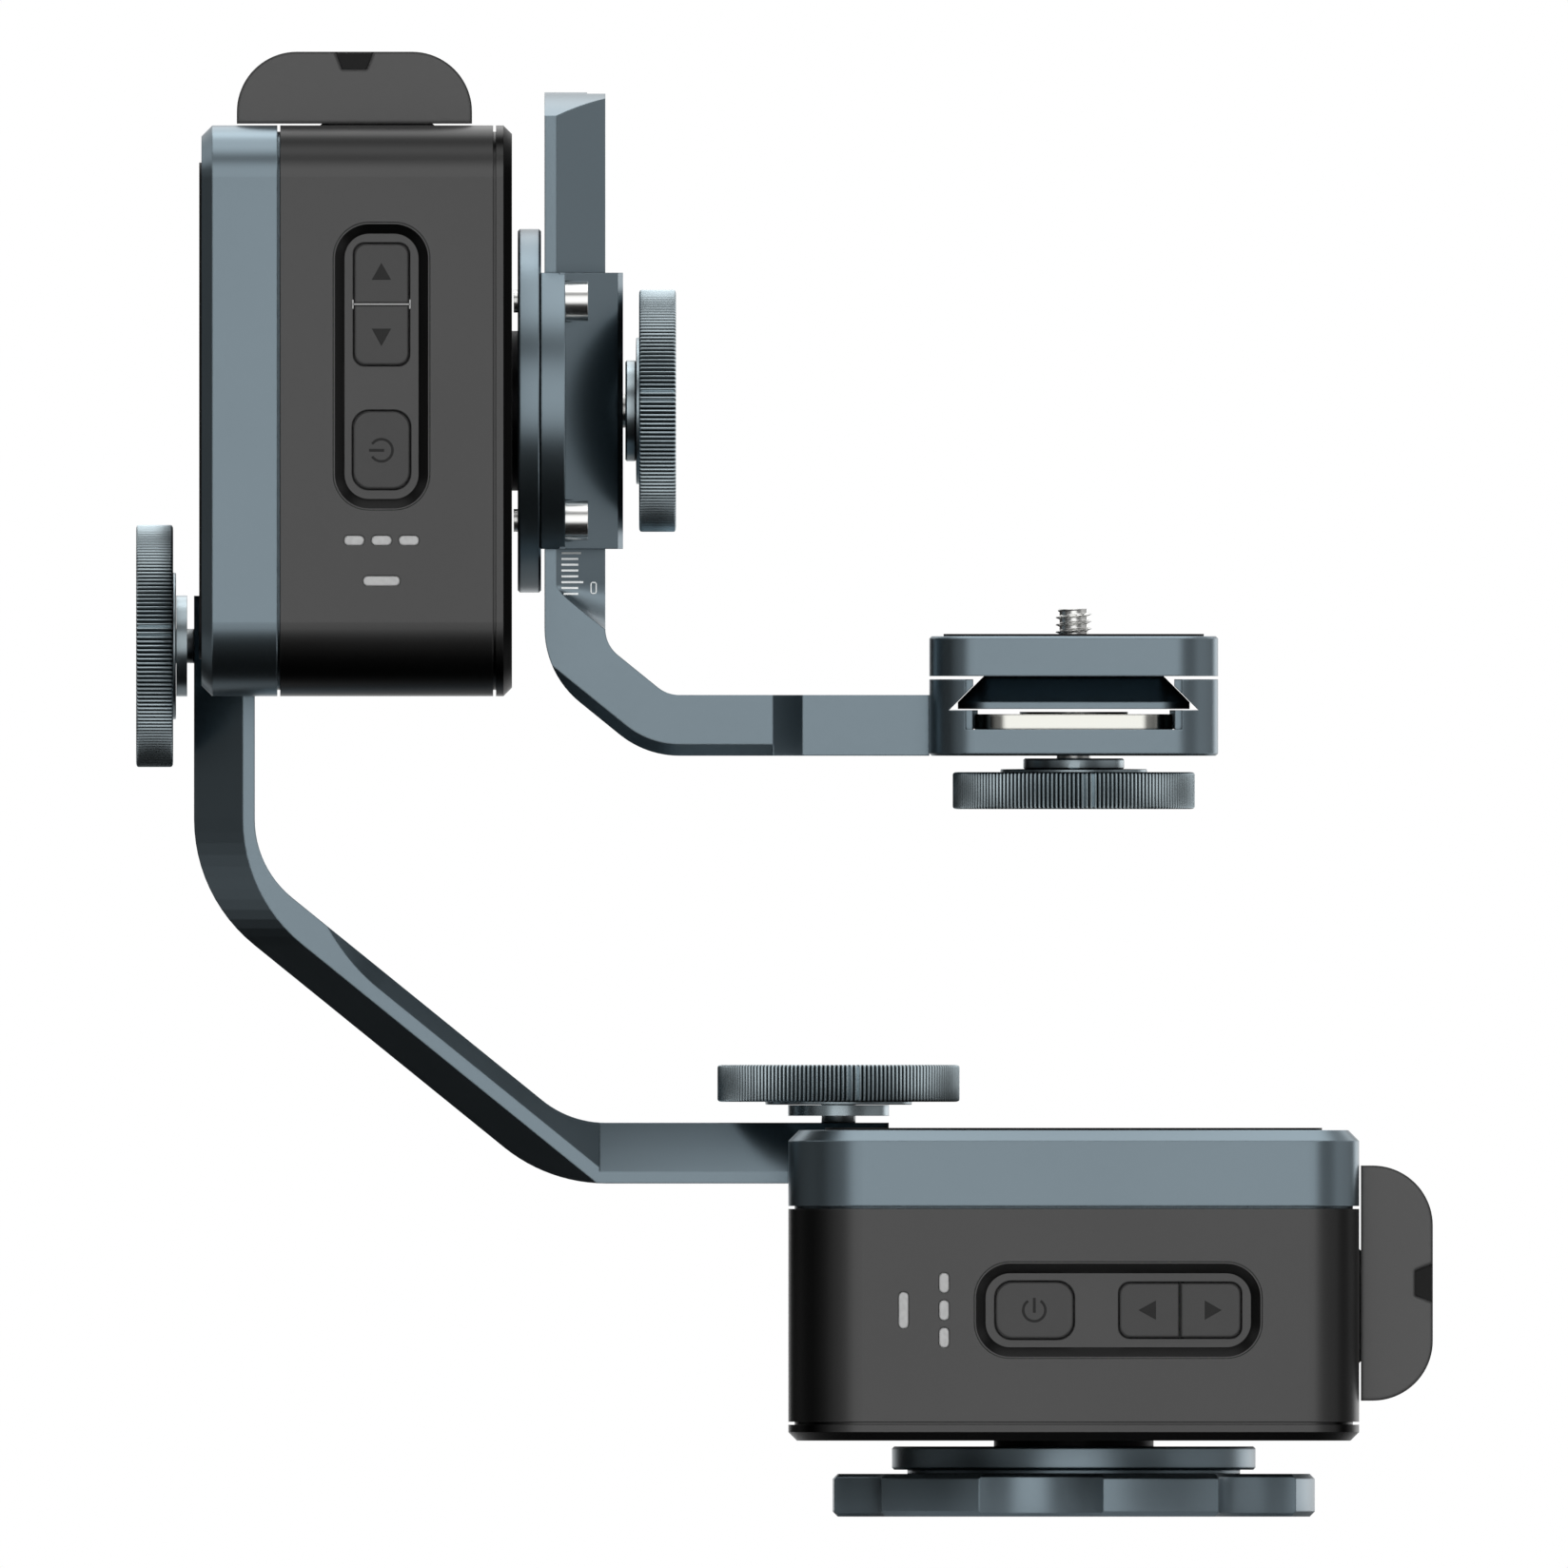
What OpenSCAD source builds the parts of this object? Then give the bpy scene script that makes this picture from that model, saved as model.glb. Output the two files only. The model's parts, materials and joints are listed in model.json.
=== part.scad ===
// Motorized panoramic head: a pan unit below and the same unit turned on its side above,
// joined by a bent arm, with a sliding camera arm that ends in a quick release.
// Millimetres, +Z up, the front with the keys looks along -Y.
// The origin is the bottom centre of the base plate, on the pan axis.

/* [Motor unit] */
// side of the square body
body_w = 100; // [96:1:112]
// corner radius of the body on the arm side
near_r = 13; // [10:0.5:15]
// corner radius of the body on the battery side
far_r = 9; // [6:0.5:11]
// wall thickness of the housing
wall_t = 3; // [2.4:0.1:3.4]
// thickness of the bottom cover
cover_t = 2.8; // [2.4:0.1:4]
// height of the housing
housing_h = 37.3; // [36.6:0.1:42]
// height of the cap
cap_h = 13.3; // [12.5:0.1:15]
// side of the thin plate on the cap
cap_plate_w = 87; // [82:1:90]
// height of the seams between the case pieces
seam_h = 0.5; // [0.3:0.1:0.8]
// depth of the seams between the case pieces
seam_d = 1.1; // [0.6:0.1:1.6]

/* [Output drive] */
// diameter of the output disc
disc_d = 63.7; // [63:0.1:70]
// thickness of the output disc
disc_t = 4.1; // [3.5:0.1:6]
// gap between the output disc and the bottom cover
disc_gap = 1; // [0.8:0.1:2]
// diameter of the black boss below the bottom cover
boss_d = 28; // [26:0.5:30]
// gear module
gear_m = 0.8; // [0.79:0.005:0.81]
// teeth on the output gear
gear_n = 61; // [60:1:62]
// teeth on the drive pinion
pinion_n = 17; // [16:1:18]

/* [Base plate] */
// diameter over the lobes of the base plate
base_d = 84.5; // [80:0.5:96]
// thickness of the base plate
base_t = 7.5; // [7:0.1:10]
// diameter of the raised land under the output disc
land_d = 58.3; // [57:0.1:62]
// height of the raised land
land_h = 0.7; // [0.4:0.1:1.5]
// radius of the finger scallops in the rim
scallop_r = 16.4; // [12:0.2:18]
// radius of the tapped tripod hole
tripod_r = 4.0; // [3.2:0.1:4.8]

/* [Controls] */
// width of the recess around the keys
recess_w = 49.8; // [48.5:0.1:52]
// height of the recess around the keys
recess_h = 16.3; // [15.4:0.1:18]
// depth of the recess around the keys
recess_d = 1.65; // [1.3:0.05:1.9]
// width of the power button
power_w = 14.1; // [11:0.1:16]
// width of the pair of keys
keys_w = 21.7; // [19:0.1:23]
// height of the keys
keys_h = 10; // [8:0.1:11]
// travel of a key
key_travel = 0.8; // [0.4:0.1:0.9]

/* [Battery] */
// height of the battery pack
battery_h = 41.2; // [38:0.1:44]
// how far the battery pack stands out
battery_out = 12.9; // [11.5:0.1:18]
// length of the battery pack, front to back
battery_l = 70; // [62:1:74]

/* [Arms] */
// thickness of the arms
arm_t = 10.65; // [10:0.05:11]
// width of the arms
arm_w = 36; // [35:0.5:37]
// straight strip beside the slope of the dovetail
arm_strip = 2.1; // [1.6:0.1:2.6]
// depth of the arm sockets
socket_l = 17.6; // [14:0.2:20]
// distance from the pan axis to the mounting plane of the tilt unit
tilt_reach = 85.1; // [78:0.5:110]
// height of the tilt axis
tilt_h = 193.7; // [170:1:240]
// length of the link arm between the pan body and its lower bend
link_run = 40.1; // [30:0.5:46]
// slope of the arms between their bends, in degrees
arm_slope = 39; // [34:0.5:44]
// bend radius of the link arm, to its middle line
link_bend_r = 23; // [18:0.5:26]
// bend radius of the camera arm, to its middle line
cam_bend_r = 11.3; // [8:0.1:14]
// height of the camera rail above the tilt axis
rail_up = 55.8; // [40:0.5:90]
// drop from the tilt axis to the middle of the camera arm foot
cam_drop = 55.1; // [50:0.5:70]
// sideways run of the sloped part of the camera arm
cam_run = 14.3; // [12:0.1:17]

/* [Quick release] */
// side of the quick release base and plate
release_w = 50.6; // [48.5:0.1:60]
// thickness of the upper slab of the quick release plate
plate_t = 7; // [6:0.1:10]
// height of the camera screw above the pad
screw_up = 4.4; // [3.5:0.1:6]

/* [Knobs] */
// diameter of the hand knobs
knob_d = 42.4; // [36:0.2:43]
// thickness of the knurled disc of a knob
knob_t = 6.5; // [5:0.1:9]
// radius of the knob studs
stud_r = 3; // [2.5:0.1:3.3]

/* [Hidden] */
$fn = 64;
// clearances
run_gap = 0.05;
fit_gap = 0.1;
free_gap = 0.3;
eps = 0.2;
// levels in a unit, from the mounting plane up
z_land = base_t + land_h;
z_disc = z_land + disc_t;
z_cover = z_disc + disc_gap;
z_seam_low = z_cover + cover_t;
z_house = z_seam_low + seam_h;
z_seam_high = z_house + housing_h;
z_cap = z_seam_high + seam_h;
z_top = z_cap + cap_h;
plate_proud = 0.4;
z_plate = z_top - 0.8;
arm_proud = 1.3;
z_arm = z_top + arm_proud - arm_t;
z_arm_mid = z_arm + arm_t / 2;
half_w = body_w / 2;
cap_chamfer = 1.9;
cover_chamfer = 1.5;
// bearings, hub and shaft
bearing_in = 10;
bearing_out = 16;
bearing_t = 7;
lip_t = 1.3;
hub_r = bearing_out + 2.4;
z_seat = z_cover + lip_t;
z_hub = z_house + 25.4;
z_gear = z_hub + 1.5;
gear_t = 6;
hex_r = 9;
drive_a = gear_m * (gear_n + pinion_n) / 2;
pinion_y = drive_a;
motor_r = min(pinion_y - hub_r - 0.4, half_w - wall_t - pinion_y - free_gap);
motor_shaft_r = 2.5;
// case screws
post = half_w - 11.6;
post_r = 3.8;
m3_r = 1.5;
m3_head_r = 2.75;
m3_head_h = 1.6;
// screws of the mounting plane
m4_r = 2;
m4_head_r = 3.5;
m4_head_h = 4;
bolt_circle_r = 28.3069;
m4_beside = 2.8;
m4_y = arm_w / 2 + m4_beside;
m4_x = sqrt(bolt_circle_r ^ 2 - m4_y ^ 2);
base_m4_x = 16.4;
base_m4_y = 17.8;
m4_tip = z_disc + disc_gap - free_gap;
// controls on the front face
panel_x = 7.8;
panel_z = z_house + 19.55;
recess_r = 6;
rim = 0.3;
bezel_t = 3.8;
power_x = panel_x - 14.65;
power_h = 10.4;
power_r = 3;
keys_x = panel_x + 10.85;
keys_r = 2;
key_gap = 0.25;
key_proud = 0.5;
flange_out = 0.6;
flange_t = 0.7;
board_t = 1.5;
board_y = -half_w + wall_t + 3.5;
lamp_x = -29.8;
board_edge = 3.2;
board_half = board_edge - lamp_x;
lamp_w = 1.75;
lamp_h = 6.45;
lamps_x = -22.7;
lamps_h = 3.55;
lamps_step = 4.8;
// battery
battery_z = z_house + 24.3;
battery_r = 10.5;
tongue_top = 10;
tongue_z = battery_z - 4;
tongue_in = 3.6;
notch_out = 3.4;
notch_in = 2.2;
notch_d = 3.1;
notch_l = 26;
latch_l = 20;
// link arm, its path in X and Z
tilt_x = -tilt_reach;
arm_half = arm_w / 2;
arm_cut = arm_t - arm_strip;
link_x = tilt_x - z_arm_mid;
link_low_x = -half_w - link_run;
link_high_z = z_arm_mid + (link_low_x - link_x) * tan(arm_slope);
link_path = [
    [link_x, tilt_h - half_w + socket_l],
    [link_x, link_high_z],
    [link_low_x, z_arm_mid],
    [-half_w + socket_l, z_arm_mid]
];
inner_cut = 2.9;
inner_from = 32.5;
inner_tool_r = 32;
slope_lap = 0.4;
// rail clamp and camera arm
flange_z = 4;
clamp_h = 48.4;
clamp_side = 3.1;
clamp_half = arm_half + clamp_side;
rail_back = z_land - 0.6;
rail_front = rail_back - arm_t;
bridge_t = 3;
clamp_front = rail_front - fit_gap - bridge_t;
groove_w = 9;
groove_d = 3.2;
pad_w = 8.4;
pad_l = 24;
pad_t = 2;
rail_x = tilt_x - rail_back + arm_t / 2;
cam_z = tilt_h - cam_drop;
cam_path = [
    [rail_x, tilt_h + rail_up],
    [rail_x, cam_z + cam_run * tan(arm_slope)],
    [rail_x + cam_run, cam_z],
    [-release_w / 2, cam_z]
];
rail_end = tilt_h - 30.4;
end_squash = 0.76;
cam_edge = 2;
neck_half = 12.8;
neck_x = -release_w / 2 - 27.4;
tool_r = arm_cut + 2;
rail_arch_r = 41.5;
// quick release
z_rel = cam_z - arm_t / 2;
rel_h = 13.4;
rel_half = release_w / 2;
rel_r = 8;
floor_t = 4.6;
slot_half = 17.7;
jaw_z = z_rel + 8;
mouth_half = 17.6;
mouth_z = 12.22;
relief_half = 18.95;
relief_l = 2.5;
seat_d = 0.3;
press_z = z_rel + floor_t;
press_t = 2.7;
press_w = 2 * slot_half - 0.8;
press_l = release_w - 2;
guide_l = 6;
guide_t = 0.9;
press_pad_t = 0.4;
press_r = 6;
z_dove = z_rel + 8.2;
dove_strip = 1.2;
dove_half = 20.3;
z_plate_low = z_rel + rel_h + 0.55;
dove_top = dove_half - (z_plate_low - z_dove - dove_strip);
z_plate_top = z_plate_low + plate_t;
pad_up = 0.4;
cam_screw_r = 3.175;
cam_head_r = 8;
cam_head_t = 3.2;
// knobs
knob_r = knob_d / 2;
collar_r = 8.85;
collar_t = 1.9;
step_r = 12.85;
step_t = 0.5;
washer_gap = 1.2;
knob_in = 8.8;
knob_x = -half_w + knob_in;

// Places a unit piece in the tilt unit, turned so that its mounting plane faces right.
module in_tilt() {
    translate([tilt_x, 0, tilt_h]) rotate([0, -90, 0]) children();
}

// Turns a flat shape to the front: its own z points at the viewer and its own y points up.
module on_front(x, y, z) {
    translate([x, y, z]) rotate([90, 0, 0]) children();
}

// Extrudes a profile drawn in Y and Z along X.
module along_x(l) {
    rotate([90, 0, 90]) linear_extrude(l) children();
}

// Extrudes a profile drawn in X and Z along Y, centred.
module along_y(l) {
    translate([0, l / 2, 0]) rotate([90, 0, 0]) linear_extrude(l) children();
}

// Rectangle with round corners, one radius on the -X side and one on the +X side.
module round_flat(w, h, r_low, r_high) {
    x = w / 2;
    y = h / 2;
    translate([-x, -y + r_low]) square([r_low, h - 2 * r_low]);
    translate([-x + r_low, -y]) square([w - r_low - r_high, h]);
    translate([x - r_high, -y + r_high]) square([r_high, h - 2 * r_high]);
    for (s = [-1, 1]) {
        translate([-x + r_low, s * (y - r_low)]) circle(r_low);
        translate([x - r_high, s * (y - r_high)]) circle(r_high);
    }
}

// Straight slab of that outline.
module round_slab(w, h, r_low, r_high, t) {
    linear_extrude(t) round_flat(w, h, r_low, r_high);
}

// Slab of that outline whose sides lean in by c over the height t.
module lean_slab(w, h, r_low, r_high, t, c) {
    x = w / 2;
    y = h / 2;
    translate([-x + r_low, 0, 0])
        along_x(w - r_low - r_high) polygon([[-y, 0], [y, 0], [y - c, t], [-y + c, t]]);
    along_y(h - 2 * r_low)
        polygon([[-x, 0], [-x + r_low, 0], [-x + r_low, t], [-x + c, t]]);
    along_y(h - 2 * r_high)
        polygon([[x, 0], [x - c, t], [x - r_high, t], [x - r_high, 0]]);
    for (s = [-1, 1]) {
        translate([-x + r_low, s * (y - r_low), 0]) cylinder(t, r_low, r_low - c);
        translate([x - r_high, s * (y - r_high), 0]) cylinder(t, r_high, r_high - c);
    }
}

// Slab with the outline of the body, moved in by an inset.
module body_slab(inset, z, t) {
    w = body_w - 2 * inset;
    translate([0, 0, z]) round_slab(w, w, near_r - inset, far_r - inset, t);
}

// Ring with a bore.
module ring(r_out, r_in, z, t) {
    translate([0, 0, z]) difference() {
        cylinder(t, r_out, r_out);
        translate([0, 0, -eps]) cylinder(t + 2 * eps, r_in, r_in);
    }
}

// Copies a child to the four corners of a rectangle.
module corners(x, y) {
    for (i = [-1, 1], j = [-1, 1]) translate([i * x, j * y, 0]) children();
}

// Involute angle in degrees.
function inv(a) = tan(a) * 180 / PI - a;
// Half of a tooth at a radius, in degrees, with a little backlash.
function half_tooth(n, r) =
    let (rb = gear_m * n / 2 * cos(20))
    90 / n + inv(20) - inv(acos(min(1, rb / max(r, rb)))) - 8 / (gear_m * n);
function on_circle(r, a) = [r * cos(a), r * sin(a)];
function tooth(n, at) =
    let (rp = gear_m * n / 2, r0 = rp - 1.25 * gear_m, r1 = rp + gear_m)
    [for (k = [0 : 8])
        let (r = k < 4.5 ? r0 + (r1 - r0) * k / 4 : r0 + (r1 - r0) * (8 - k) / 4)
        on_circle(r, at + (k < 4.5 ? -1 : 1) * half_tooth(n, r))];

// Flat outline of a spur gear with one tooth at the angle "turn".
module gear_flat(n, turn) {
    polygon([for (i = [0 : n - 1]) each tooth(n, turn + 360 * i / n)]);
}

// Outline of a bent bar: the middle line is a path in X and Z, the bends are round.
function unit(v) = v / norm(v);
function side_of(u) = [-u[1], u[0]];
function bend(p, u, v, r, d) =
    let (s = sign(u[0] * v[1] - u[1] * v[0]), a = acos(u * v))
    let (start = p - u * r * tan(a / 2), c = start + s * side_of(u) * r)
    let (from = atan2(start[1] - c[1], start[0] - c[0]))
    [for (k = [0 : 12]) c + (r - s * d) * [cos(from + s * a * k / 12), sin(from + s * a * k / 12)]];
function bar_side(p, r, d) =
    let (u = unit(p[1] - p[0]), v = unit(p[2] - p[1]), w = unit(p[3] - p[2]))
    concat(
        [p[0] + side_of(u) * d], bend(p[1], u, v, r, d), bend(p[2], v, w, r, d),
        [p[3] + side_of(w) * d]
    );
function turned(p) = [for (i = [len(p) - 1 : -1 : 0]) p[i]];

module bent_bar(p, r) {
    along_y(arm_w) polygon(concat(bar_side(p, r, arm_t / 2), turned(bar_side(p, r, -arm_t / 2))));
}

// Places a child at a point of a path, with its x along the path and its z to the left of it.
module on_leg(from, to) {
    translate([from[0], 0, from[1]])
        rotate([0, -atan2(to[1] - from[1], to[0] - from[0]), 0]) children();
}

// Cutter for the slopes along one edge of a leg, front and back, from x0 to x1 on the leg.
module slope_cut(x0, x1, side, c, over = 1) {
    t = arm_t / 2;
    for (s = [-1, 1]) translate([x0, 0, 0])
        along_x(x1 - x0)
            polygon([
                [s * arm_half, side * (t - c)], [s * (arm_half + 2), side * (t - c)],
                [s * (arm_half + 2), side * (t + over)], [s * (arm_half - c - over), side * (t + over)]
            ]);
}

// Round end of a slope, as a pointed cutter leaves it.
module slope_end(x, side, c, tip, squash = 1) {
    t = arm_t / 2;
    for (s = [-1, 1])
        translate([x, s * (arm_half + tip), side * (t + 1)]) rotate([side > 0 ? 180 : 0, 0, 0])
            scale([squash, 1, 1]) cylinder(c + 1, c + tip + 1, tip);
}

// Dovetail section of an arm in a socket, with a gap, drawn from its wide face up.
module dovetail(gap, up) {
    a = arm_half + gap;
    polygon([
        [-a, 0], [a, 0], [a, arm_strip + gap / 2],
        [a - arm_cut - up, arm_t + gap / 2 + up], [-a + arm_cut + up, arm_t + gap / 2 + up],
        [-a, arm_strip + gap / 2]
    ]);
}

// Base plate with finger scallops, a land for the output disc and a tapped tripod hole.
module base_plate() {
    scallop_at = base_d / 2 + 10.7;
    edge = 0.9;
    grip_edge = 0.6;
    color("slategray") difference() {
        union() {
            rotate_extrude()
                polygon([
                    [0, 0], [base_d / 2 - edge, 0], [base_d / 2, edge], [base_d / 2, base_t - edge],
                    [base_d / 2 - edge, base_t], [0, base_t]
                ]);
            translate([0, 0, base_t - 1]) cylinder(land_h + 1, land_d / 2, land_d / 2);
        }
        for (i = [0 : 5]) rotate([0, 0, 60 * i - 98]) translate([scallop_at, 0, 0]) rotate_extrude()
            polygon([
                [0, -1], [scallop_r + grip_edge + 1, -1], [scallop_r, grip_edge],
                [scallop_r, base_t - grip_edge], [scallop_r + grip_edge + 1, base_t + 1], [0, base_t + 1]
            ]);
        translate([0, 0, -eps]) cylinder(z_land + 2 * eps, tripod_r, tripod_r);
        corners(base_m4_x, base_m4_y) {
            translate([0, 0, -eps]) cylinder(z_land + 2 * eps, m4_r + fit_gap, m4_r + fit_gap);
            translate([0, 0, -eps])
                cylinder(m4_head_h + free_gap + eps, m4_head_r + free_gap, m4_head_r + free_gap);
        }
    }
}

// Cap screw with its head below, the head resting at z, up to its tip.
module cap_screw(z, tip = m4_tip) {
    difference() {
        union() {
            translate([0, 0, z - m4_head_h]) cylinder(m4_head_h, m4_head_r, m4_head_r);
            translate([0, 0, z - eps]) cylinder(tip - z + eps, m4_r, m4_r);
        }
        translate([0, 0, z - m4_head_h - eps]) cylinder(2 + eps, 1.7, 1.7, $fn = 6);
    }
}

module base_screws() {
    color("silver") corners(base_m4_x, base_m4_y) cap_screw(m4_head_h + free_gap, z_disc - free_gap);
}

// Output disc that the base plate or the rail clamp is screwed to.
module output_disc(bolt_x, bolt_y) {
    edge = 0.4;
    color("slategray") difference() {
        union() {
            translate([0, 0, z_land]) cylinder(edge, disc_d / 2 - edge, disc_d / 2);
            translate([0, 0, z_land + edge]) cylinder(disc_t - 2 * edge, disc_d / 2, disc_d / 2);
            translate([0, 0, z_disc - edge]) cylinder(edge, disc_d / 2, disc_d / 2 - edge);
        }
        translate([0, 0, z_land - eps]) cylinder(disc_t + 2 * eps, 8 + run_gap, 8 + run_gap);
        corners(bolt_x, bolt_y)
            translate([0, 0, z_land - eps]) cylinder(disc_t + 2 * eps, m4_r + run_gap, m4_r + run_gap);
    }
}

// Output shaft: spigot in the disc, boss, bearing journal and hexagon for the gear.
module output_shaft() {
    color("dimgray") {
        translate([0, 0, z_land + 0.2]) cylinder(disc_t, 8, 8);
        translate([0, 0, z_disc]) cylinder(z_seat - z_disc, boss_d / 2, boss_d / 2);
        translate([0, 0, z_seat - eps]) cylinder(z_gear - z_seat + eps, bearing_in, bearing_in);
        translate([0, 0, z_gear - eps]) cylinder(gear_t + eps, hex_r, hex_r, $fn = 6);
    }
}

module output_gear() {
    color("khaki") translate([0, 0, z_gear]) difference() {
        linear_extrude(gear_t) gear_flat(gear_n, 90);
        translate([0, 0, -eps]) cylinder(gear_t + 2 * eps, hex_r + run_gap, hex_r + run_gap, $fn = 6);
        for (i = [0 : 5]) rotate([0, 0, 60 * i]) translate([16, 0, -eps]) cylinder(gear_t + 2 * eps, 4, 4);
    }
}

// Two sealed ball bearings, each drawn as one ring with its shield grooves.
module bearings() {
    color("silver") for (z = [z_seat, z_hub - bearing_t]) difference() {
        ring(bearing_out - run_gap, bearing_in + run_gap, z, bearing_t);
        for (e = [z - eps, z + bearing_t - 0.4])
            ring(bearing_out - 1.6, bearing_in + 1.6, e, 0.4 + eps);
    }
}

module motor() {
    shaft_l = 12;
    color("gray") translate([0, pinion_y, 0]) difference() {
        union() {
            translate([0, 0, z_seam_low]) cylinder(z_hub - z_seam_low, motor_r, motor_r);
            translate([0, 0, z_hub - eps]) cylinder(0.8 + eps, 5, 5);
        }
        translate([0, 0, z_hub - shaft_l - 0.5])
            cylinder(shaft_l + 3, motor_shaft_r + run_gap, motor_shaft_r + run_gap);
    }
}

module drive_pinion() {
    shaft_l = 12;
    color("silver") translate([0, pinion_y, 0]) {
        translate([0, 0, z_gear]) linear_extrude(gear_t + 0.3) gear_flat(pinion_n, 270 + 180 / pinion_n);
        translate([0, 0, z_hub - shaft_l])
            cylinder(z_gear - z_hub + shaft_l + eps, motor_shaft_r, motor_shaft_r);
    }
}

// Bottom cover with the bearing hub, held by four screws from below.
module base_cover() {
    hole = boss_d / 2 + free_gap + 0.2;
    color("black") difference() {
        union() {
            translate([0, 0, z_cover + cover_chamfer]) mirror([0, 0, 1])
                lean_slab(body_w, body_w, near_r, far_r, cover_chamfer, cover_chamfer);
            body_slab(0, z_cover + cover_chamfer, cover_t - cover_chamfer);
            body_slab(seam_d, z_seam_low - eps, seam_h + eps);
            translate([0, 0, z_seam_low]) cylinder(z_hub - z_seam_low, hub_r, hub_r);
        }
        body_slab(wall_t + fit_gap, z_seam_low, 2 * seam_h + eps);
        translate([0, 0, z_cover - eps]) cylinder(lip_t + 2 * eps, hole, hole);
        translate([0, 0, z_seat]) cylinder(z_hub - z_seat + eps, bearing_out, bearing_out);
        corners(post, post) {
            translate([0, 0, z_cover - eps])
                cylinder(cover_t + seam_h + 2 * eps, m3_r + fit_gap, m3_r + fit_gap);
            translate([0, 0, z_cover - eps])
                cylinder(m3_head_h + eps, m3_head_r + fit_gap, m3_head_r + fit_gap);
        }
    }
    color("black") difference() {
        translate([0, 0, z_seam_low - eps]) cylinder(z_hub - z_seam_low + eps, hub_r, hub_r);
        translate([0, 0, z_cover]) cylinder(z_hub, bearing_out, bearing_out);
    }
}

// Housing: a square tube with corner posts, openings for the controls and a battery slot.
module housing() {
    boss_in = wall_t + 3.8;
    boss_y = -32;
    block_at = (post + half_w - wall_t) / 2;
    boss_half = tongue_top + tongue_in + 1.5;
    color("dimgray") difference() {
        union() {
            difference() {
                body_slab(0, z_house, housing_h);
                body_slab(wall_t, z_house - eps, housing_h + 2 * eps);
            }
            corners(post, post) translate([0, 0, z_house]) cylinder(housing_h, post_r, post_r);
            for (i = [-1, 1], j = [-1, 1])
                translate([i * block_at, j * block_at, z_house + housing_h / 2])
                    cube([post_r + 3, post_r + 3, housing_h], center = true);
            translate([half_w - boss_in, boss_y, tongue_z - boss_half])
                cube([boss_in - 1, half_w - far_r - boss_y, 2 * boss_half]);
            for (x = [-29, 29], z = [z_house + 6, z_seam_high - 6])
                on_front(x, board_y, z) cylinder(4, 2.2, 2.2);
        }
        on_front(panel_x, -half_w + wall_t + eps, panel_z)
            round_slab(
                recess_w + 2 * (rim + run_gap), recess_h + 2 * (rim + run_gap),
                recess_r + rim, recess_r + rim, wall_t + 2 * eps
            );
        lamp_shapes(run_gap, wall_t + eps, eps);
        battery_tongue(fit_gap, -30 - fit_gap, half_w + 2);
        corners(post, post) for (z = [z_house - eps, z_seam_high - 8])
            translate([0, 0, z]) cylinder(8 + eps, m3_r + run_gap, m3_r + run_gap);
    }
}

// The four indicator lights, from "deep" behind the front face to "out" before it.
module lamp_shapes(gap, deep, out) {
    on_front(0, -half_w + deep, panel_z) {
        translate([lamp_x, 0, 0])
            round_slab(lamp_w + 2 * gap, lamp_h + 2 * gap, 0.85, 0.85, deep + out);
        for (i = [-1 : 1]) translate([lamps_x, i * lamps_step, 0])
            round_slab(lamp_w + 2 * gap, lamps_h + 2 * gap, 0.85, 0.85, deep + out);
    }
}

module indicator_lights() {
    color("gainsboro") lamp_shapes(0, wall_t + 0.4, 0);
}

// Cap with the dovetail socket of the arm and a recess for the thin plate.
module cap() {
    cap_in = 3;
    block = half_w - socket_l - 6;
    color("slategray") difference() {
        union() {
            body_slab(seam_d, z_seam_high, seam_h + eps);
            body_slab(0, z_cap, cap_h - cap_chamfer);
            translate([0, 0, z_top - cap_chamfer])
                lean_slab(body_w, body_w, near_r, far_r, cap_chamfer, cap_chamfer);
        }
        difference() {
            body_slab(wall_t + 1, z_seam_high - eps, cap_h + seam_h - cap_in + eps);
            translate([-half_w, -half_w, z_seam_high - 1]) cube([half_w - block, body_w, cap_h + 2]);
            corners(post, post) translate([0, 0, z_seam_high - 1]) cylinder(cap_h + 2, post_r + 1, post_r + 1);
        }
        translate([0, 0, z_plate]) round_slab(cap_plate_w + 2 * fit_gap, cap_plate_w + 2 * fit_gap, 6, 6, 2);
        translate([-half_w - 1, 0, z_arm]) along_x(socket_l + 1 + fit_gap) dovetail(fit_gap, 1);
        translate([knob_x, 0, z_seam_high - eps])
            cylinder(z_arm - z_seam_high + 2 * eps, stud_r + run_gap, stud_r + run_gap);
        corners(post, post) {
            translate([0, 0, z_seam_high - eps]) cylinder(cap_h + 1, m3_r + fit_gap, m3_r + fit_gap);
            translate([0, 0, z_cap + 4]) cylinder(cap_h, m3_head_r + fit_gap, m3_head_r + fit_gap);
        }
    }
}

// Thin plate over the cap, open where the arm comes through.
module cap_plate() {
    slot = arm_half - arm_cut + z_top - z_plate + arm_proud + free_gap;
    color("black") difference() {
        translate([0, 0, z_plate])
            round_slab(cap_plate_w, cap_plate_w, 6 - fit_gap, 6 - fit_gap, z_top - z_plate + plate_proud);
        translate([-half_w, -slot, z_plate - eps]) cube([socket_l + free_gap, 2 * slot, 2]);
    }
}

// Case screws: four in the bottom cover and four under the thin plate of the cap.
module cover_screws() {
    color("silver") corners(post, post) {
        translate([0, 0, z_cover + 0.1]) case_screw(z_house + 6.5 - z_cover);
        translate([0, 0, z_cap + 4 + m3_head_h]) mirror([0, 0, 1]) case_screw(m3_head_h + 4 + seam_h + 6);
    }
}

module case_screw(l) {
    difference() {
        union() {
            cylinder(m3_head_h - 0.1, m3_head_r, m3_head_r);
            cylinder(l, m3_r, m3_r);
        }
        translate([0, 0, -eps]) cylinder(1 + eps, 1.2, 1.2, $fn = 6);
    }
}

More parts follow.
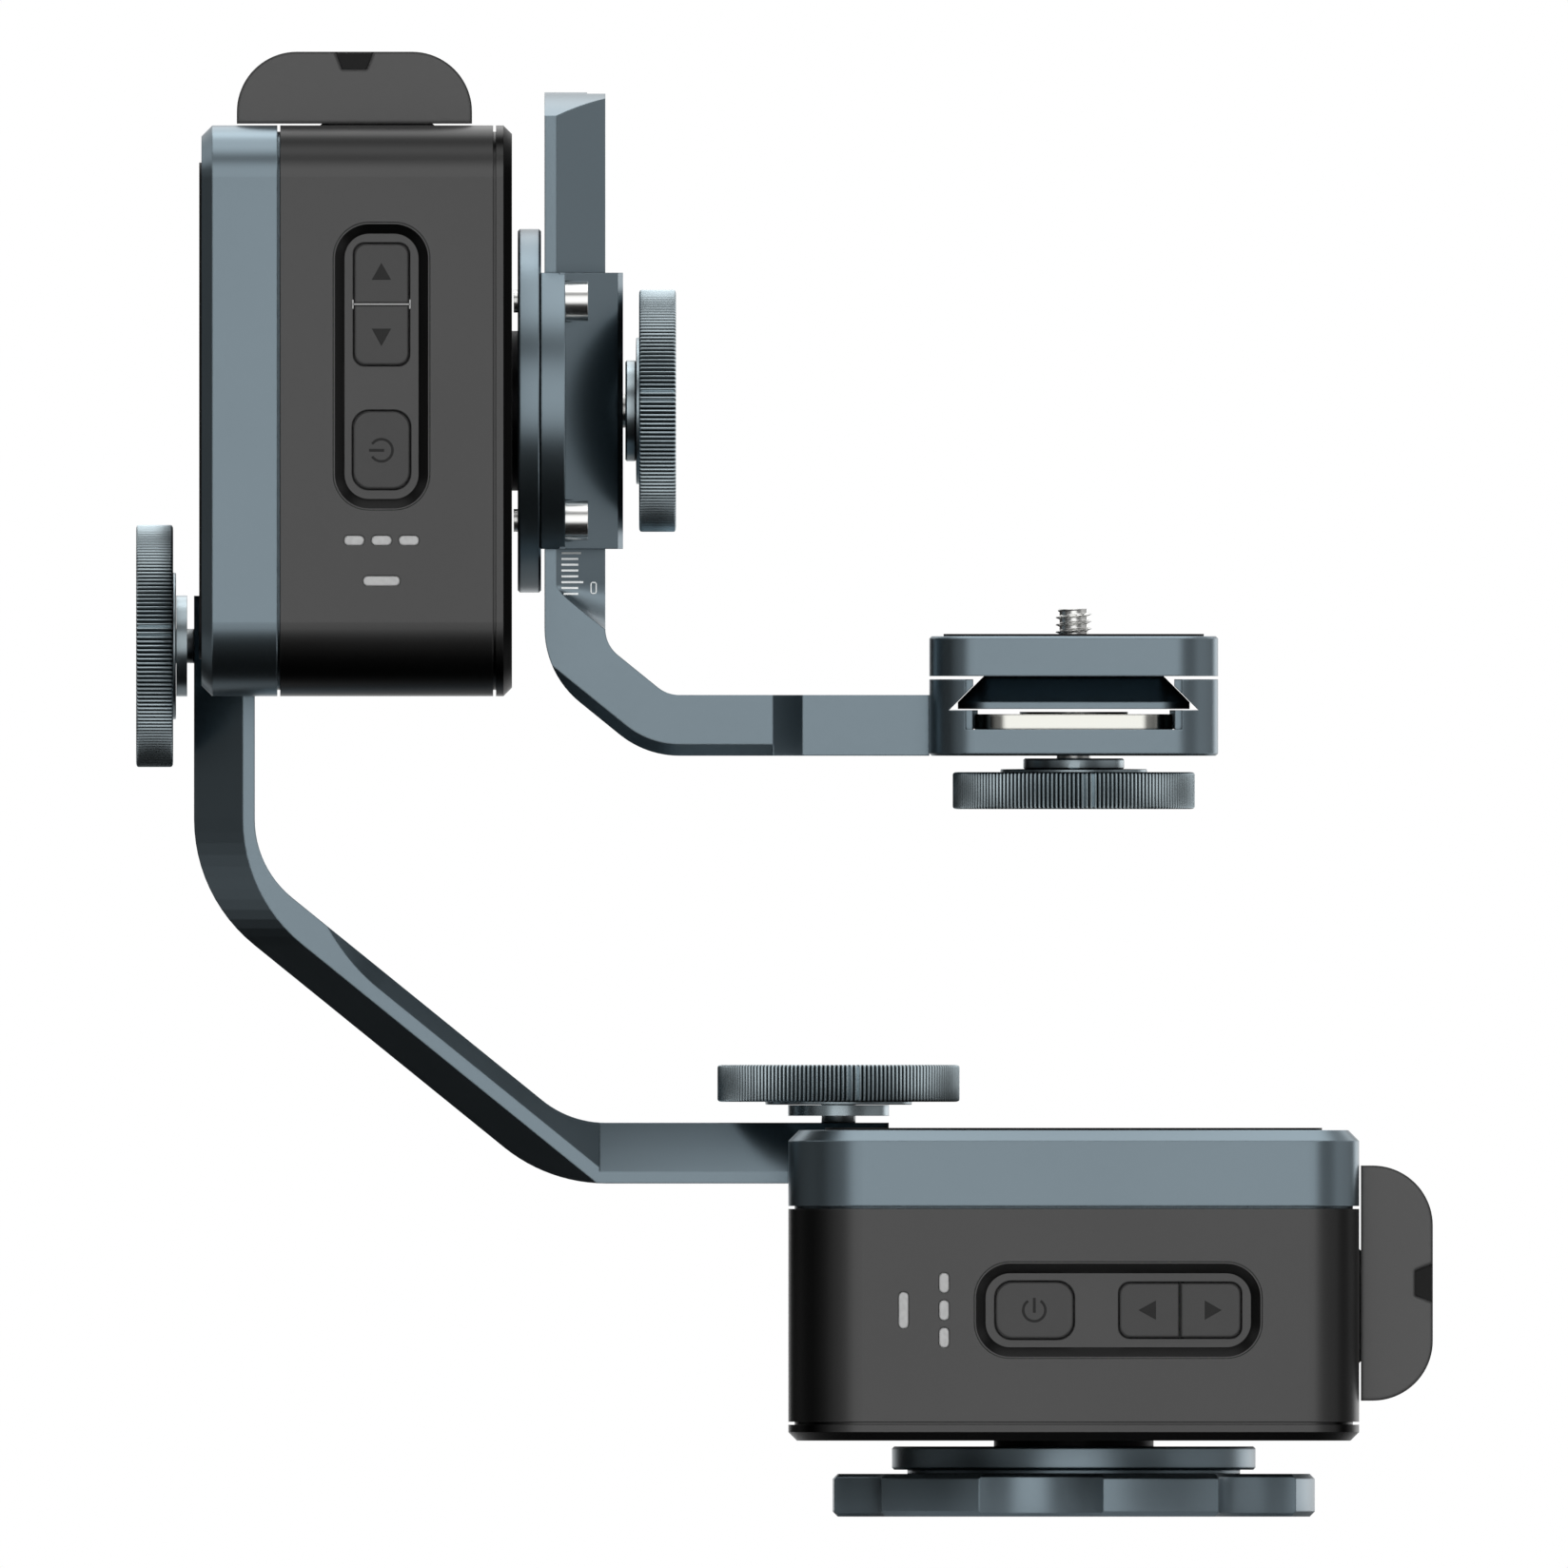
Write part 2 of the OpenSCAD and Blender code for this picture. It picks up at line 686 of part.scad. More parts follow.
// Circuit board with one switch behind each key and a light source behind each lamp.
module circuit_board() {
    color("darkgreen") {
        translate([-board_half, board_y, z_house + 3]) cube([2 * board_half, board_t, housing_h - 6]);
        for (x = [power_x, keys_x - keys_w / 4, keys_x + keys_w / 4])
            on_front(x, board_y + eps, panel_z) translate([-2, -2, 0]) cube([4, 4, 0.6 + eps]);
        on_front(0, board_y + eps, panel_z) {
            translate([lamp_x - 0.7, -2.5, 0]) cube([1.4, 5, 1 + eps]);
            for (i = [-1 : 1]) translate([lamps_x - 0.7, i * lamps_step - 1.2, 0]) cube([1.4, 2.4, 1 + eps]);
        }
    }
}

// Tray around the keys with leaning sides.
module button_bezel() {
    color("dimgray") on_front(panel_x, -half_w + bezel_t, panel_z) difference() {
        round_slab(recess_w + 2 * rim, recess_h + 2 * rim, recess_r + rim, recess_r + rim, bezel_t);
        translate([0, 0, bezel_t - recess_d]) mirror([0, 0, 1]) translate([0, 0, -recess_d])
            lean_slab(recess_w, recess_h, recess_r, recess_r, recess_d, recess_d);
        translate([power_x - panel_x, 0, -eps])
            round_slab(power_w, power_h, power_r, power_r, bezel_t + 2 * eps);
        translate([keys_x - panel_x, 0, -eps])
            round_slab(keys_w, keys_h, keys_r, keys_r, bezel_t + 2 * eps);
    }
}

// A key: cap in its hole, flange behind the tray and a stem that reaches for the switch.
module key_shape(w, h, r) {
    back = -bezel_t - fit_gap;
    round_up = recess_d - key_proud;
    translate([0, 0, back - eps])
        round_slab(w - 2 * key_gap, h - 2 * key_gap, r, r, bezel_t + fit_gap - round_up + eps);
    translate([0, 0, back - flange_t])
        round_slab(w + 2 * flange_out, h + 2 * flange_out, r, r, flange_t);
}

module key_stem() {
    back = -bezel_t - fit_gap - flange_t;
    translate([0, 0, back - 0.4]) cylinder(0.4 + eps, 1.5, 1.5);
}

module power_button() {
    color("gray") on_front(power_x, -half_w, panel_z) {
        key_shape(power_w, power_h, power_r);
        key_stem();
    }
}

// One half of the pair of keys: side -1 or 1.
module half_key(side) {
    color("gray") on_front(keys_x, -half_w, panel_z) {
        intersection() {
            key_shape(keys_w, keys_h, keys_r);
            translate([side > 0 ? 0.15 : -keys_w - 0.15, -keys_h, -10]) cube([keys_w, 2 * keys_h, 20]);
        }
        translate([side * keys_w / 4, 0, 0]) key_stem();
    }
}

// Leaning tongue of the battery, or its slot when a gap is given, from y0 to y1.
module battery_tongue(gap, y0, y1) {
    in = tongue_in + gap;
    top = tongue_top + gap;
    translate([half_w, (y0 + y1) / 2, tongue_z]) along_y(y1 - y0)
        polygon([[1, -top + 1], [1, top - 1], [-in, top + in], [-in, -top - in]]);
}

// Battery pack with a D-shaped section, a tongue and a groove for its latch.
module battery_pack() {
    stand = 0.3;
    color("dimgray") difference() {
        union() {
            translate([half_w, 0, battery_z]) along_y(battery_l) intersection() {
                translate([battery_out / 2 - battery_r, 0])
                    round_flat(battery_out + 2 * battery_r, battery_h, battery_r, battery_r);
                translate([stand, -battery_h]) square([battery_out, 2 * battery_h]);
            }
            battery_tongue(0, -30, battery_l / 2);
        }
        translate([half_w + battery_out, -battery_l / 2 + notch_l / 2 - 0.5, battery_z]) along_y(notch_l + 1)
            polygon([[1, -notch_out - 0.4], [1, notch_out + 0.4], [-notch_d, notch_in], [-notch_d, -notch_in]]);
    }
}

module battery_latch() {
    out = notch_out - fit_gap - 0.12;
    low = notch_in - fit_gap;
    color("black") translate([half_w + battery_out, -battery_l / 2 + latch_l / 2 + 0.2, battery_z])
        along_y(latch_l)
            polygon([[-0.25, -out], [-0.25, out], [-notch_d + run_gap, low], [-notch_d + run_gap, -low]]);
}

// Cutter for the slopes along the outer edge of a bent bar, down to where its second leg would go on:
// the outline moves sideways from each face in.
module edge_slopes(p, r, c) {
    u = unit(p[1] - p[0]);
    v = unit(p[2] - p[1]);
    t = arm_t / 2;
    edge = concat(
        [p[0] - t * side_of(u)], bend(p[1], u, v, r, -t), [p[2] - t * side_of(v) + arm_t * v]
    );
    low = edge[len(edge) - 1];
    over = 1;
    for (s = [-1, 1]) multmatrix([[1, s, 0, c - arm_half], [0, 1, 0, 0], [0, 0, 1, 0], [0, 0, 0, 1]])
        translate([0, s * (arm_half - c / 2 + over / 2 - 0.1), 0]) along_y(c + over + 0.2)
            polygon(concat([[edge[0][0], edge[0][1] + over]], edge, [
                [low[0], low[1] - 20], [edge[0][0] - 20, low[1] - 20], [edge[0][0] - 20, edge[0][1] + over]
            ]));
}

// Bent arm that carries the tilt unit, a dovetail at both ends.
module link_arm() {
    p = link_path;
    t = arm_t / 2;
    low_l = norm(p[2] - p[1]);
    slopes_meet = (t - inner_cut + (arm_cut - t) * cos(arm_slope)) / sin(arm_slope);
    color("slategray") difference() {
        bent_bar(p, link_bend_r);
        edge_slopes(p, link_bend_r, arm_cut);
        on_leg(p[1], p[2]) slope_end(inner_from, 1, inner_cut, inner_tool_r);
        intersection() {
            on_leg(p[1], p[2]) slope_cut(inner_from, low_l + arm_t, 1, inner_cut, t);
            translate([p[1][0], -arm_w, 0])
                cube([p[2][0] + slopes_meet - slope_lap - p[1][0], 2 * arm_w, p[1][1]]);
        }
        on_leg(p[2], p[3]) slope_cut(slopes_meet - 2 * slope_lap, norm(p[3] - p[2]) + 1, 1, arm_cut);
        translate([knob_x, 0, z_arm - eps])
            cylinder(arm_t + 2 * eps, stud_r + free_gap, stud_r + free_gap);
        in_tilt() translate([knob_x, 0, z_arm - eps])
            cylinder(arm_t + 2 * eps, stud_r + free_gap, stud_r + free_gap);
    }
}

// Knurled disc with its step, lying on z = 0 and rising; the knurl itself is left plain.
module knob_disc(collar) {
    edge = 0.7;
    base = collar ? collar_t : 0;
    difference() {
        union() {
            if (collar) cylinder(collar_t + eps, collar_r, collar_r);
            translate([0, 0, base]) cylinder(step_t + eps, step_r, step_r);
            translate([0, 0, base + step_t]) cylinder(edge, knob_r - edge, knob_r);
            translate([0, 0, base + step_t + edge]) cylinder(knob_t - 2 * edge, knob_r, knob_r);
            translate([0, 0, base + step_t + knob_t - edge]) cylinder(edge, knob_r, knob_r - edge);
        }
        translate([0, 0, -eps])
            cylinder(base + step_t + knob_t - 1.5 + eps, stud_r + 0.02, stud_r + 0.02);
    }
}

// Washer, knob and stud over an arm socket.
module arm_washer() {
    color("dimgray") ring(collar_r, stud_r + run_gap, z_arm + arm_t + washer_gap, collar_t);
}

module arm_knob() {
    color("dimgray") translate([knob_x, 0, z_arm + arm_t + washer_gap + collar_t + run_gap])
        knob_disc(false);
}

module arm_screw() {
    low = z_cap + 0.5;
    high = z_arm + arm_t + washer_gap + collar_t + run_gap + step_t + knob_t - 1.5;
    color("silver") translate([knob_x, 0, low]) cylinder(high - low, stud_r, stud_r);
}

// Rail clamp in the frame of the tilt unit: flange on the output disc and a bridge over the rail.
module rail_clamp() {
    edge = 0.9;
    bevel = 1.3;
    top = clamp_half - (flange_z - clamp_front);
    color("slategray") difference() {
        union() {
            intersection() {
                translate([0, 0, flange_z]) cylinder(z_land - flange_z, disc_d / 2, disc_d / 2);
                translate([-clamp_h / 2, -disc_d, flange_z - 1]) cube([clamp_h, 2 * disc_d, z_land]);
            }
            translate([-clamp_h / 2, 0, 0]) along_x(clamp_h)
                polygon([
                    [-clamp_half, flange_z + 1], [clamp_half, flange_z + 1], [clamp_half, flange_z],
                    [top + edge, clamp_front + edge], [top - bevel, clamp_front], [bevel - top, clamp_front],
                    [-top - edge, clamp_front + edge], [-clamp_half, flange_z]
                ]);
        }
        translate([-clamp_h / 2 - 1, 0, rail_back + fit_gap]) mirror([0, 0, 1])
            along_x(clamp_h + 2) dovetail(1.5 * fit_gap, 1.5 * fit_gap);
        translate([0, 0, clamp_front - eps])
            cylinder(bridge_t + 1, stud_r + run_gap, stud_r + run_gap);
        corners(m4_x, m4_y) {
            translate([0, 0, clamp_front - 1]) cylinder(z_land + 10, m4_r + fit_gap, m4_r + fit_gap);
            translate([0, 0, clamp_front - 1])
                cylinder(flange_z - clamp_front + 1, m4_head_r + fit_gap, m4_head_r + fit_gap);
        }
    }
}

module clamp_screws() {
    color("silver") corners(m4_x, m4_y) cap_screw(flange_z);
}

// Pad that the clamp stud presses into the groove of the rail.
module clamp_pad() {
    low = rail_front + groove_d - fit_gap - pad_t;
    color("dimgray") translate([-pad_l / 2, -pad_w / 2, low]) cube([pad_l, pad_w, pad_t]);
}

module clamp_knob() {
    color("dimgray") translate([0, 0, clamp_front - 0.4]) mirror([0, 0, 1]) knob_disc(true);
}

module clamp_knob_screw() {
    high = rail_front + groove_d - fit_gap - pad_t - run_gap;
    low = clamp_front - 0.4 - collar_t - step_t - knob_t + 1.5;
    color("silver") translate([0, 0, low]) cylinder(high - low, stud_r, stud_r);
}

// Slopes of even width along the outside of the bend into the level leg, one for each flat of it.
module bend_slopes(p, r, c) {
    flats = bend(p[2], unit(p[2] - p[1]), unit(p[3] - p[2]), r, -arm_t / 2);
    over = 0.4;
    for (k = [0 : len(flats) - 2]) on_leg(flats[k], flats[k + 1])
        for (s = [-1, 1]) translate([-over, 0, 0])
            along_x(norm(flats[k + 1] - flats[k]) + 2 * over)
                polygon([
                    [s * arm_half, c], [s * (arm_half + 2), c],
                    [s * (arm_half + 2), -1], [s * (arm_half - c - 1), -1]
                ]);
}

// Camera arm: a dovetail rail with an arched top, two bends and a foot with a narrow neck.
module camera_arm() {
    p = cam_path;
    rail_l = norm(p[1] - p[0]);
    foot = p[3][0] - neck_x;
    step = arm_half - neck_half;
    groove_l = p[0][1] - rail_end;
    color("slategray") difference() {
        bent_bar(p, cam_bend_r);
        on_leg(p[0], p[1]) {
            slope_cut(-1, groove_l, 1, arm_cut);
            slope_end(groove_l, 1, arm_cut, tool_r - arm_cut, end_squash);
            translate([-1, -groove_w / 2, arm_t / 2 - groove_d]) cube([groove_l - 3, groove_w, groove_d + 1]);
        }
        on_leg(p[1], p[2]) slope_cut(-12, norm(p[2] - p[1]) + 10, -1, cam_edge);
        on_leg(p[2], p[3]) slope_cut(-10, neck_x - p[2][0], -1, cam_edge);
        bend_slopes(p, cam_bend_r, cam_edge);
        translate([rail_x - arm_t, 0, p[0][1] - rail_arch_r]) difference() {
            translate([0, -arm_w, rail_arch_r - 10]) cube([2 * arm_t, 2 * arm_w, 20]);
            translate([-1, 0, 0]) rotate([0, 90, 0]) cylinder(2 * arm_t + 2, rail_arch_r, rail_arch_r);
        }
        for (s = [-1, 1]) translate([neck_x, 0, cam_z - arm_t]) linear_extrude(2 * arm_t)
            polygon([
                [0, s * arm_half], [step, s * neck_half], [foot + 1, s * neck_half],
                [foot + 1, s * (arm_half + 1)], [0, s * (arm_half + 1)]
            ]);
    }
}

// Quick release base with a dovetail channel from front to back.
module quick_release_base() {
    edge = 0.4;
    z1 = rel_h;
    zj = jaw_z - z_rel;
    jaw_half = mouth_half + mouth_z - zj;
    color("slategray") translate([0, 0, z_rel]) difference() {
        union() {
            translate([0, 0, edge]) mirror([0, 0, 1]) lean_slab(release_w, release_w, rel_r, rel_r, edge, edge);
            translate([0, 0, edge]) round_slab(release_w, release_w, rel_r, rel_r, rel_h - edge);
        }
        difference() {
            along_y(release_w + 2)
                polygon([
                    [-slot_half, floor_t], [slot_half, floor_t], [slot_half, zj], [jaw_half, zj],
                    [mouth_half, mouth_z], [mouth_half, z1 + 1], [-mouth_half, z1 + 1], [-mouth_half, mouth_z],
                    [-jaw_half, zj], [-slot_half, zj]
                ]);
            for (s = [-1, 1]) translate([s * slot_half - guide_t, -guide_l / 2, 0])
                cube([2 * guide_t, guide_l, zj]);
        }
        translate([0, 0, floor_t - seat_d])
            round_slab(press_w + 2 * free_gap, press_l + 2 * free_gap, press_r, press_r, seat_d + 0.1);
        for (s = [-1, 1])
            translate([-relief_half, s * (rel_half - relief_l / 2 + 0.5) - relief_l / 2 - 0.5, floor_t])
                cube([2 * relief_half, relief_l + 1, rel_h]);
        translate([0, 0, -eps]) cylinder(floor_t + 2 * eps, stud_r + run_gap, stud_r + run_gap);
    }
}

// Pressure plate under the dovetail of the quick release plate.
module pressure_plate() {
    notch_x = slot_half - guide_t - free_gap;
    color("whitesmoke") translate([0, 0, press_z]) {
        difference() {
            round_slab(press_w, press_l, press_r, press_r, press_t);
            for (s = [-1, 1]) translate([s * (notch_x + 2) - 2, -guide_l / 2 - free_gap, -1])
                cube([4, guide_l + 2 * free_gap, press_t + 2]);
        }
        translate([0, 0, press_t - eps]) cylinder(press_pad_t + eps, 9.5, 9.5);
    }
}

module quick_release_knob() {
    color("dimgray") translate([0, 0, z_rel - 0.45]) mirror([0, 0, 1]) knob_disc(true);
}

module quick_release_screw() {
    low = z_rel - 0.45 - collar_t - step_t - knob_t + 1.5;
    color("silver") translate([0, 0, low]) cylinder(press_z - run_gap - low, stud_r, stud_r);
}

// Quick release plate: a slab over a four-sided dovetail, with a bore for the camera screw.
module quick_release_plate() {
    edge = 0.4;
    lean = z_plate_low - z_dove - dove_strip;
    color("slategray") difference() {
        union() {
            translate([0, 0, z_dove]) round_slab(2 * dove_half, 2 * dove_half, 5.5, 5.5, dove_strip);
            translate([0, 0, z_dove + dove_strip])
                lean_slab(2 * dove_half, 2 * dove_half, 5.5, 5.5, lean + eps, lean + eps);
            translate([0, 0, z_plate_low]) round_slab(release_w, release_w, rel_r, rel_r, plate_t - edge);
            translate([0, 0, z_plate_top - edge]) lean_slab(release_w, release_w, rel_r, rel_r, edge, edge);
        }
        translate([0, 0, z_dove - eps])
            cylinder(z_plate_low - z_dove + eps, cam_head_r + free_gap, cam_head_r + free_gap);
        translate([0, 0, z_dove])
            cylinder(z_plate_top - z_dove + eps, cam_screw_r + run_gap, cam_screw_r + run_gap);
    }
}

// Thin grip pad on the quick release plate.
module plate_pad() {
    w = release_w - 5;
    color("dimgray") translate([0, 0, z_plate_top]) difference() {
        round_slab(w, w, 6, 6, pad_up);
        translate([0, 0, -eps]) cylinder(pad_up + 2 * eps, cam_screw_r + free_gap, cam_screw_r + free_gap);
    }
}

// Camera screw with a slotted head in the plate.
module camera_screw() {
    color("silver") difference() {
        union() {
            translate([0, 0, z_plate_low - run_gap - cam_head_t]) cylinder(cam_head_t, cam_head_r, cam_head_r);
            translate([0, 0, z_plate_low - 1])
                cylinder(1 + plate_t + pad_up + eps, cam_screw_r - 0.2, cam_screw_r - 0.2);
            translate([0, 0, z_plate_top + pad_up]) cylinder(screw_up, cam_screw_r, cam_screw_r);
        }
        translate([-cam_head_r - 1, -0.8, z_plate_low - cam_head_t - 1]) cube([2 * cam_head_r + 2, 1.6, 2.2]);
    }
}

base_plate();
base_screws();
output_disc(base_m4_x, base_m4_y);  // pan_output_disc
output_shaft();  // pan_output_shaft
output_gear();  // pan_output_gear
bearings();  // pan_bearings
motor();  // pan_motor
drive_pinion();  // pan_drive_pinion
base_cover();  // pan_base_cover
housing();  // pan_housing
cap();  // pan_cap
cap_plate();  // pan_cap_plate
cover_screws();  // pan_cover_screws
circuit_board();  // pan_circuit_board
button_bezel();  // pan_button_bezel
power_button();  // pan_power_button
half_key(-1);  // pan_left_key
half_key(1);  // pan_right_key
indicator_lights();  // pan_indicator_lights
battery_pack();  // pan_battery_pack
battery_latch();  // pan_battery_latch
in_tilt() output_disc(m4_x, m4_y);  // tilt_output_disc
in_tilt() output_shaft();  // tilt_output_shaft
in_tilt() output_gear();  // tilt_output_gear
in_tilt() bearings();  // tilt_bearings
in_tilt() motor();  // tilt_motor
in_tilt() drive_pinion();  // tilt_drive_pinion
in_tilt() base_cover();  // tilt_base_cover
in_tilt() housing();  // tilt_housing
in_tilt() cap();  // tilt_cap
in_tilt() cap_plate();  // tilt_cap_plate
in_tilt() cover_screws();  // tilt_cover_screws
in_tilt() circuit_board();  // tilt_circuit_board
in_tilt() button_bezel();  // tilt_button_bezel
in_tilt() power_button();  // tilt_power_button
in_tilt() half_key(-1);  // tilt_down_key
in_tilt() half_key(1);  // tilt_up_key
in_tilt() indicator_lights();  // tilt_indicator_lights
in_tilt() battery_pack();  // tilt_battery_pack
in_tilt() battery_latch();  // tilt_battery_latch
link_arm();
arm_knob();  // pan_arm_knob
arm_screw();  // pan_arm_screw
translate([knob_x, 0, 0]) arm_washer();  // pan_arm_washer
in_tilt() arm_knob();  // tilt_arm_knob
in_tilt() arm_screw();  // tilt_arm_screw
in_tilt() translate([knob_x, 0, 0]) arm_washer();  // tilt_arm_washer
in_tilt() rail_clamp();
in_tilt() clamp_screws();
in_tilt() clamp_pad();
in_tilt() clamp_knob();
in_tilt() clamp_knob_screw();
camera_arm();
quick_release_base();
quick_release_knob();
quick_release_screw();
pressure_plate();
quick_release_plate();
plate_pad();
camera_screw();
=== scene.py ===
"""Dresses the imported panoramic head: its finishes, knurled knobs, threads, marks and the studio round it."""
from __future__ import annotations

import json
import logging
import math
from dataclasses import dataclass, field
from enum import Enum
from typing import Any, Iterable, Sequence, Union

import bmesh
import bpy
from mathutils import Matrix, Vector

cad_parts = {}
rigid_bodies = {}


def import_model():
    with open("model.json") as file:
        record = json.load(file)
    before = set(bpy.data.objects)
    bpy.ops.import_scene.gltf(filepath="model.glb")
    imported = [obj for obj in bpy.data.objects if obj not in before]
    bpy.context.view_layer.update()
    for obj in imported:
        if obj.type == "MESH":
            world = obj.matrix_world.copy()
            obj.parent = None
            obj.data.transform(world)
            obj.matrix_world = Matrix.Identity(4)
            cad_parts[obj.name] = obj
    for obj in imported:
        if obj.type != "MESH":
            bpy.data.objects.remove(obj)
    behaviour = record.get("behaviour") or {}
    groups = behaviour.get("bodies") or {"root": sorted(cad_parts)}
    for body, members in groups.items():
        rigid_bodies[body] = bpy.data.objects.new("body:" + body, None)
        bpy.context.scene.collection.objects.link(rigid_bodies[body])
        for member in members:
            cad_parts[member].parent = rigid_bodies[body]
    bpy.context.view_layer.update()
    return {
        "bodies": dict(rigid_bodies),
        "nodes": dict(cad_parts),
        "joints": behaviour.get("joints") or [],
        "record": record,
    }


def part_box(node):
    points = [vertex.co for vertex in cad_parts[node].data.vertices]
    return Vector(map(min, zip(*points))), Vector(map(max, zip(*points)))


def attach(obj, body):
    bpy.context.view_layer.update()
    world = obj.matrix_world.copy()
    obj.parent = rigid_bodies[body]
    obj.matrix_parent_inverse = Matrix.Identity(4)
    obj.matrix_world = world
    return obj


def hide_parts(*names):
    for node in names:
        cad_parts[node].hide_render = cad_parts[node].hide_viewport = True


Point = tuple[float, float, float]
Flat = tuple[float, float]
Colour = tuple[float, float, float, float]
Skin = tuple[list[Point], list[list[int]]]

LOG = logging.getLogger("panoramic_head")
MM = 0.001

# The pan unit stands in the frame of the whole head.
PAN = Matrix.Identity(4)

# Nodes whose names end so are built anew here.
REBUILT = ("_knob", "arm_screw", "camera_screw")


def linear(rgb: Sequence[float]) -> Colour:
    """Turn a colour of 0 to 255 into the light values that the shaders take.

    Args:
        rgb: Red, green and blue as they look on a screen.

    Returns:
        The linear colour with an alpha of 1.
    """
    parts = [c / 255 for c in rgb]
    return tuple(c / 12.92 if c <= 0.04045 else ((c + 0.055) / 1.055) ** 2.4 for c in parts) + (1.0,)


def tinted(colour: Colour, factor: float, lift: float = 0.0) -> Colour:
    """Make a linear colour paler or darker.

    Args:
        colour: Colour to start from.
        factor: What each part is multiplied by.
        lift: What is then added to each part.

    Returns:
        The new colour with an alpha of 1.
    """
    return tuple(min(1.0, c * factor + lift) for c in colour[:3]) + (1.0,)


class Sock:
    """A value on its way through a node tree; arithmetic on it adds Math nodes."""

    def __init__(self, tree: "Tree", socket: bpy.types.NodeSocket) -> None:
        """Keep the tree and the socket that gives the value."""
        self.tree = tree
        self.socket = socket

    def math(self, operation: str, *values: "Value") -> "Sock":
        """Add one Math node.

        Args:
            operation: The node's operation.
            values: Its inputs in order.

        Returns:
            The result.
        """
        return self.tree.value("ShaderNodeMath", {"operation": operation}, dict(enumerate(values)))

    def __add__(self, other: "Value") -> "Sock":
        """Sum."""
        return self.math("ADD", self, other)

    def __radd__(self, other: "Value") -> "Sock":
        """Sum with a plain number first."""
        return self.math("ADD", other, self)

    def __sub__(self, other: "Value") -> "Sock":
        """Difference."""
        return self.math("SUBTRACT", self, other)

    def __rsub__(self, other: "Value") -> "Sock":
        """Difference with a plain number first."""
        return self.math("SUBTRACT", other, self)

    def __mul__(self, other: "Value") -> "Sock":
        """Product."""
        return self.math("MULTIPLY", self, other)

    def __rmul__(self, other: "Value") -> "Sock":
        """Product with a plain number first."""
        return self.math("MULTIPLY", other, self)

    def __abs__(self) -> "Sock":
        """Value without its sign."""
        return self.math("ABSOLUTE", self)

    def most(self, other: "Value") -> "Sock":
        """Larger of two values."""
        return self.math("MAXIMUM", self, other)

    def smooth(self, low: float, high: float) -> "Sock":
        """Rise softly from 0 at one value to 1 at another.

        Args:
            low: Value that gives 0.
            high: Value that gives 1.

        Returns:
            The softened step.
        """
        return self.tree.value("ShaderNodeMapRange", {"interpolation_type": "SMOOTHSTEP"},
                               {0: self, 1: low, 2: high, 3: 0.0, 4: 1.0})


Value = Union[Sock, float]


class Tree:
    """Node tree of a material or a world."""

    def __init__(self, owner: Union[bpy.types.Material, bpy.types.World]) -> None:
        """Empty the owner's tree and keep it.

        Args:
            owner: Material or world that the tree belongs to.
        """
        owner.use_nodes = True
        self.nodes = owner.node_tree.nodes
        self.links = owner.node_tree.links
        self.nodes.clear()

    def node(self, kind: str, settings: dict[str, Any] | None = None,
             sockets: dict[Union[int, str], Any] | None = None) -> bpy.types.Node:
        """Add one node.

        Args:
            kind: Type of the node.
            settings: Its own settings, set first.
            sockets: Values or links of its inputs.

        Returns:
            The node.
        """
        node = self.nodes.new(kind)
        for key, value in (settings or {}).items():
            setattr(node, key, value)
        for key, value in (sockets or {}).items():
            if isinstance(value, Sock):
                self.links.new(value.socket, node.inputs[key])
            else:
                node.inputs[key].default_value = value
        return node

    def value(self, kind: str, settings: dict[str, Any] | None = None,
              sockets: dict[Union[int, str], Any] | None = None, out: Union[int, str] = 0) -> Sock:
        """Add one node and give one of its outputs, with the same arguments as node()."""
        return Sock(self, self.node(kind, settings, sockets).outputs[out])

    def place(self, stretch: Point = (1, 1, 1)) -> Sock:
        """Give the place on the piece, in metres.

        Args:
            stretch: Factor along each axis.

        Returns:
            The vector.
        """
        at = self.value("ShaderNodeTexCoord", out="Object")
        return self.value("ShaderNodeVectorMath", {"operation": "MULTIPLY"}, {0: at, 1: stretch})

    def dot(self, first: Any, second: Any) -> Sock:
        """Give how far one vector points along another."""
        both = {0: first, 1: second}
        return self.value("ShaderNodeVectorMath", {"operation": "DOT_PRODUCT"}, both, "Value")

    def noise(self, size_mm: float, detail: float = 2.0, stretch: Point = (1, 1, 1)) -> Sock:
        """Give soft noise from 0 to 1.

        Args:
            size_mm: Size of its spots.
            detail: Number of finer layers.
            stretch: Factor along each axis.

        Returns:
            The noise.
        """
        return self.value("ShaderNodeTexNoise", None,
                          {"Vector": self.place(stretch), "Scale": 1 / (size_mm * MM), "Detail": detail})

    def mix(self, first: Any, second: Any, share: Value) -> Sock:
        """Mix two colours.

        Args:
            first: Colour at a share of 0.
            second: Colour at a share of 1.
            share: How much of the second.

        Returns:
            The mixed colour.
        """
        return self.value("ShaderNodeMix", {"data_type": "RGBA"}, {0: share, 6: first, 7: second}, out=2)

    def end(self, shader: bpy.types.Node, kind: str = "ShaderNodeOutputMaterial") -> None:
        """Join a shader to the tree's output."""
        self.links.new(shader.outputs[0], self.node(kind).inputs["Surface"])


class Grain(Enum):
    """What the surface shows when seen close."""

    BLASTED = "even pits of fine blasting under anodising"
    MOULDED = "leathery spots of a spark-eroded mould"
    TURNED = "fine rings left by a lathe"
    RIBBED = "narrow ribs across the pad"
    TRACKS = "copper tracks under solder mask"
    FROSTED = "milky light guide"


# Sizes of spots and relief, in millimetres.
BROAD_MM = 38.0
SPOT_MM = 2.6
MILK_MM = 0.7
RELIEF_MM = 0.1
# The last size is how far the painted seam shade reaches.
SEAM_MM = 0.7

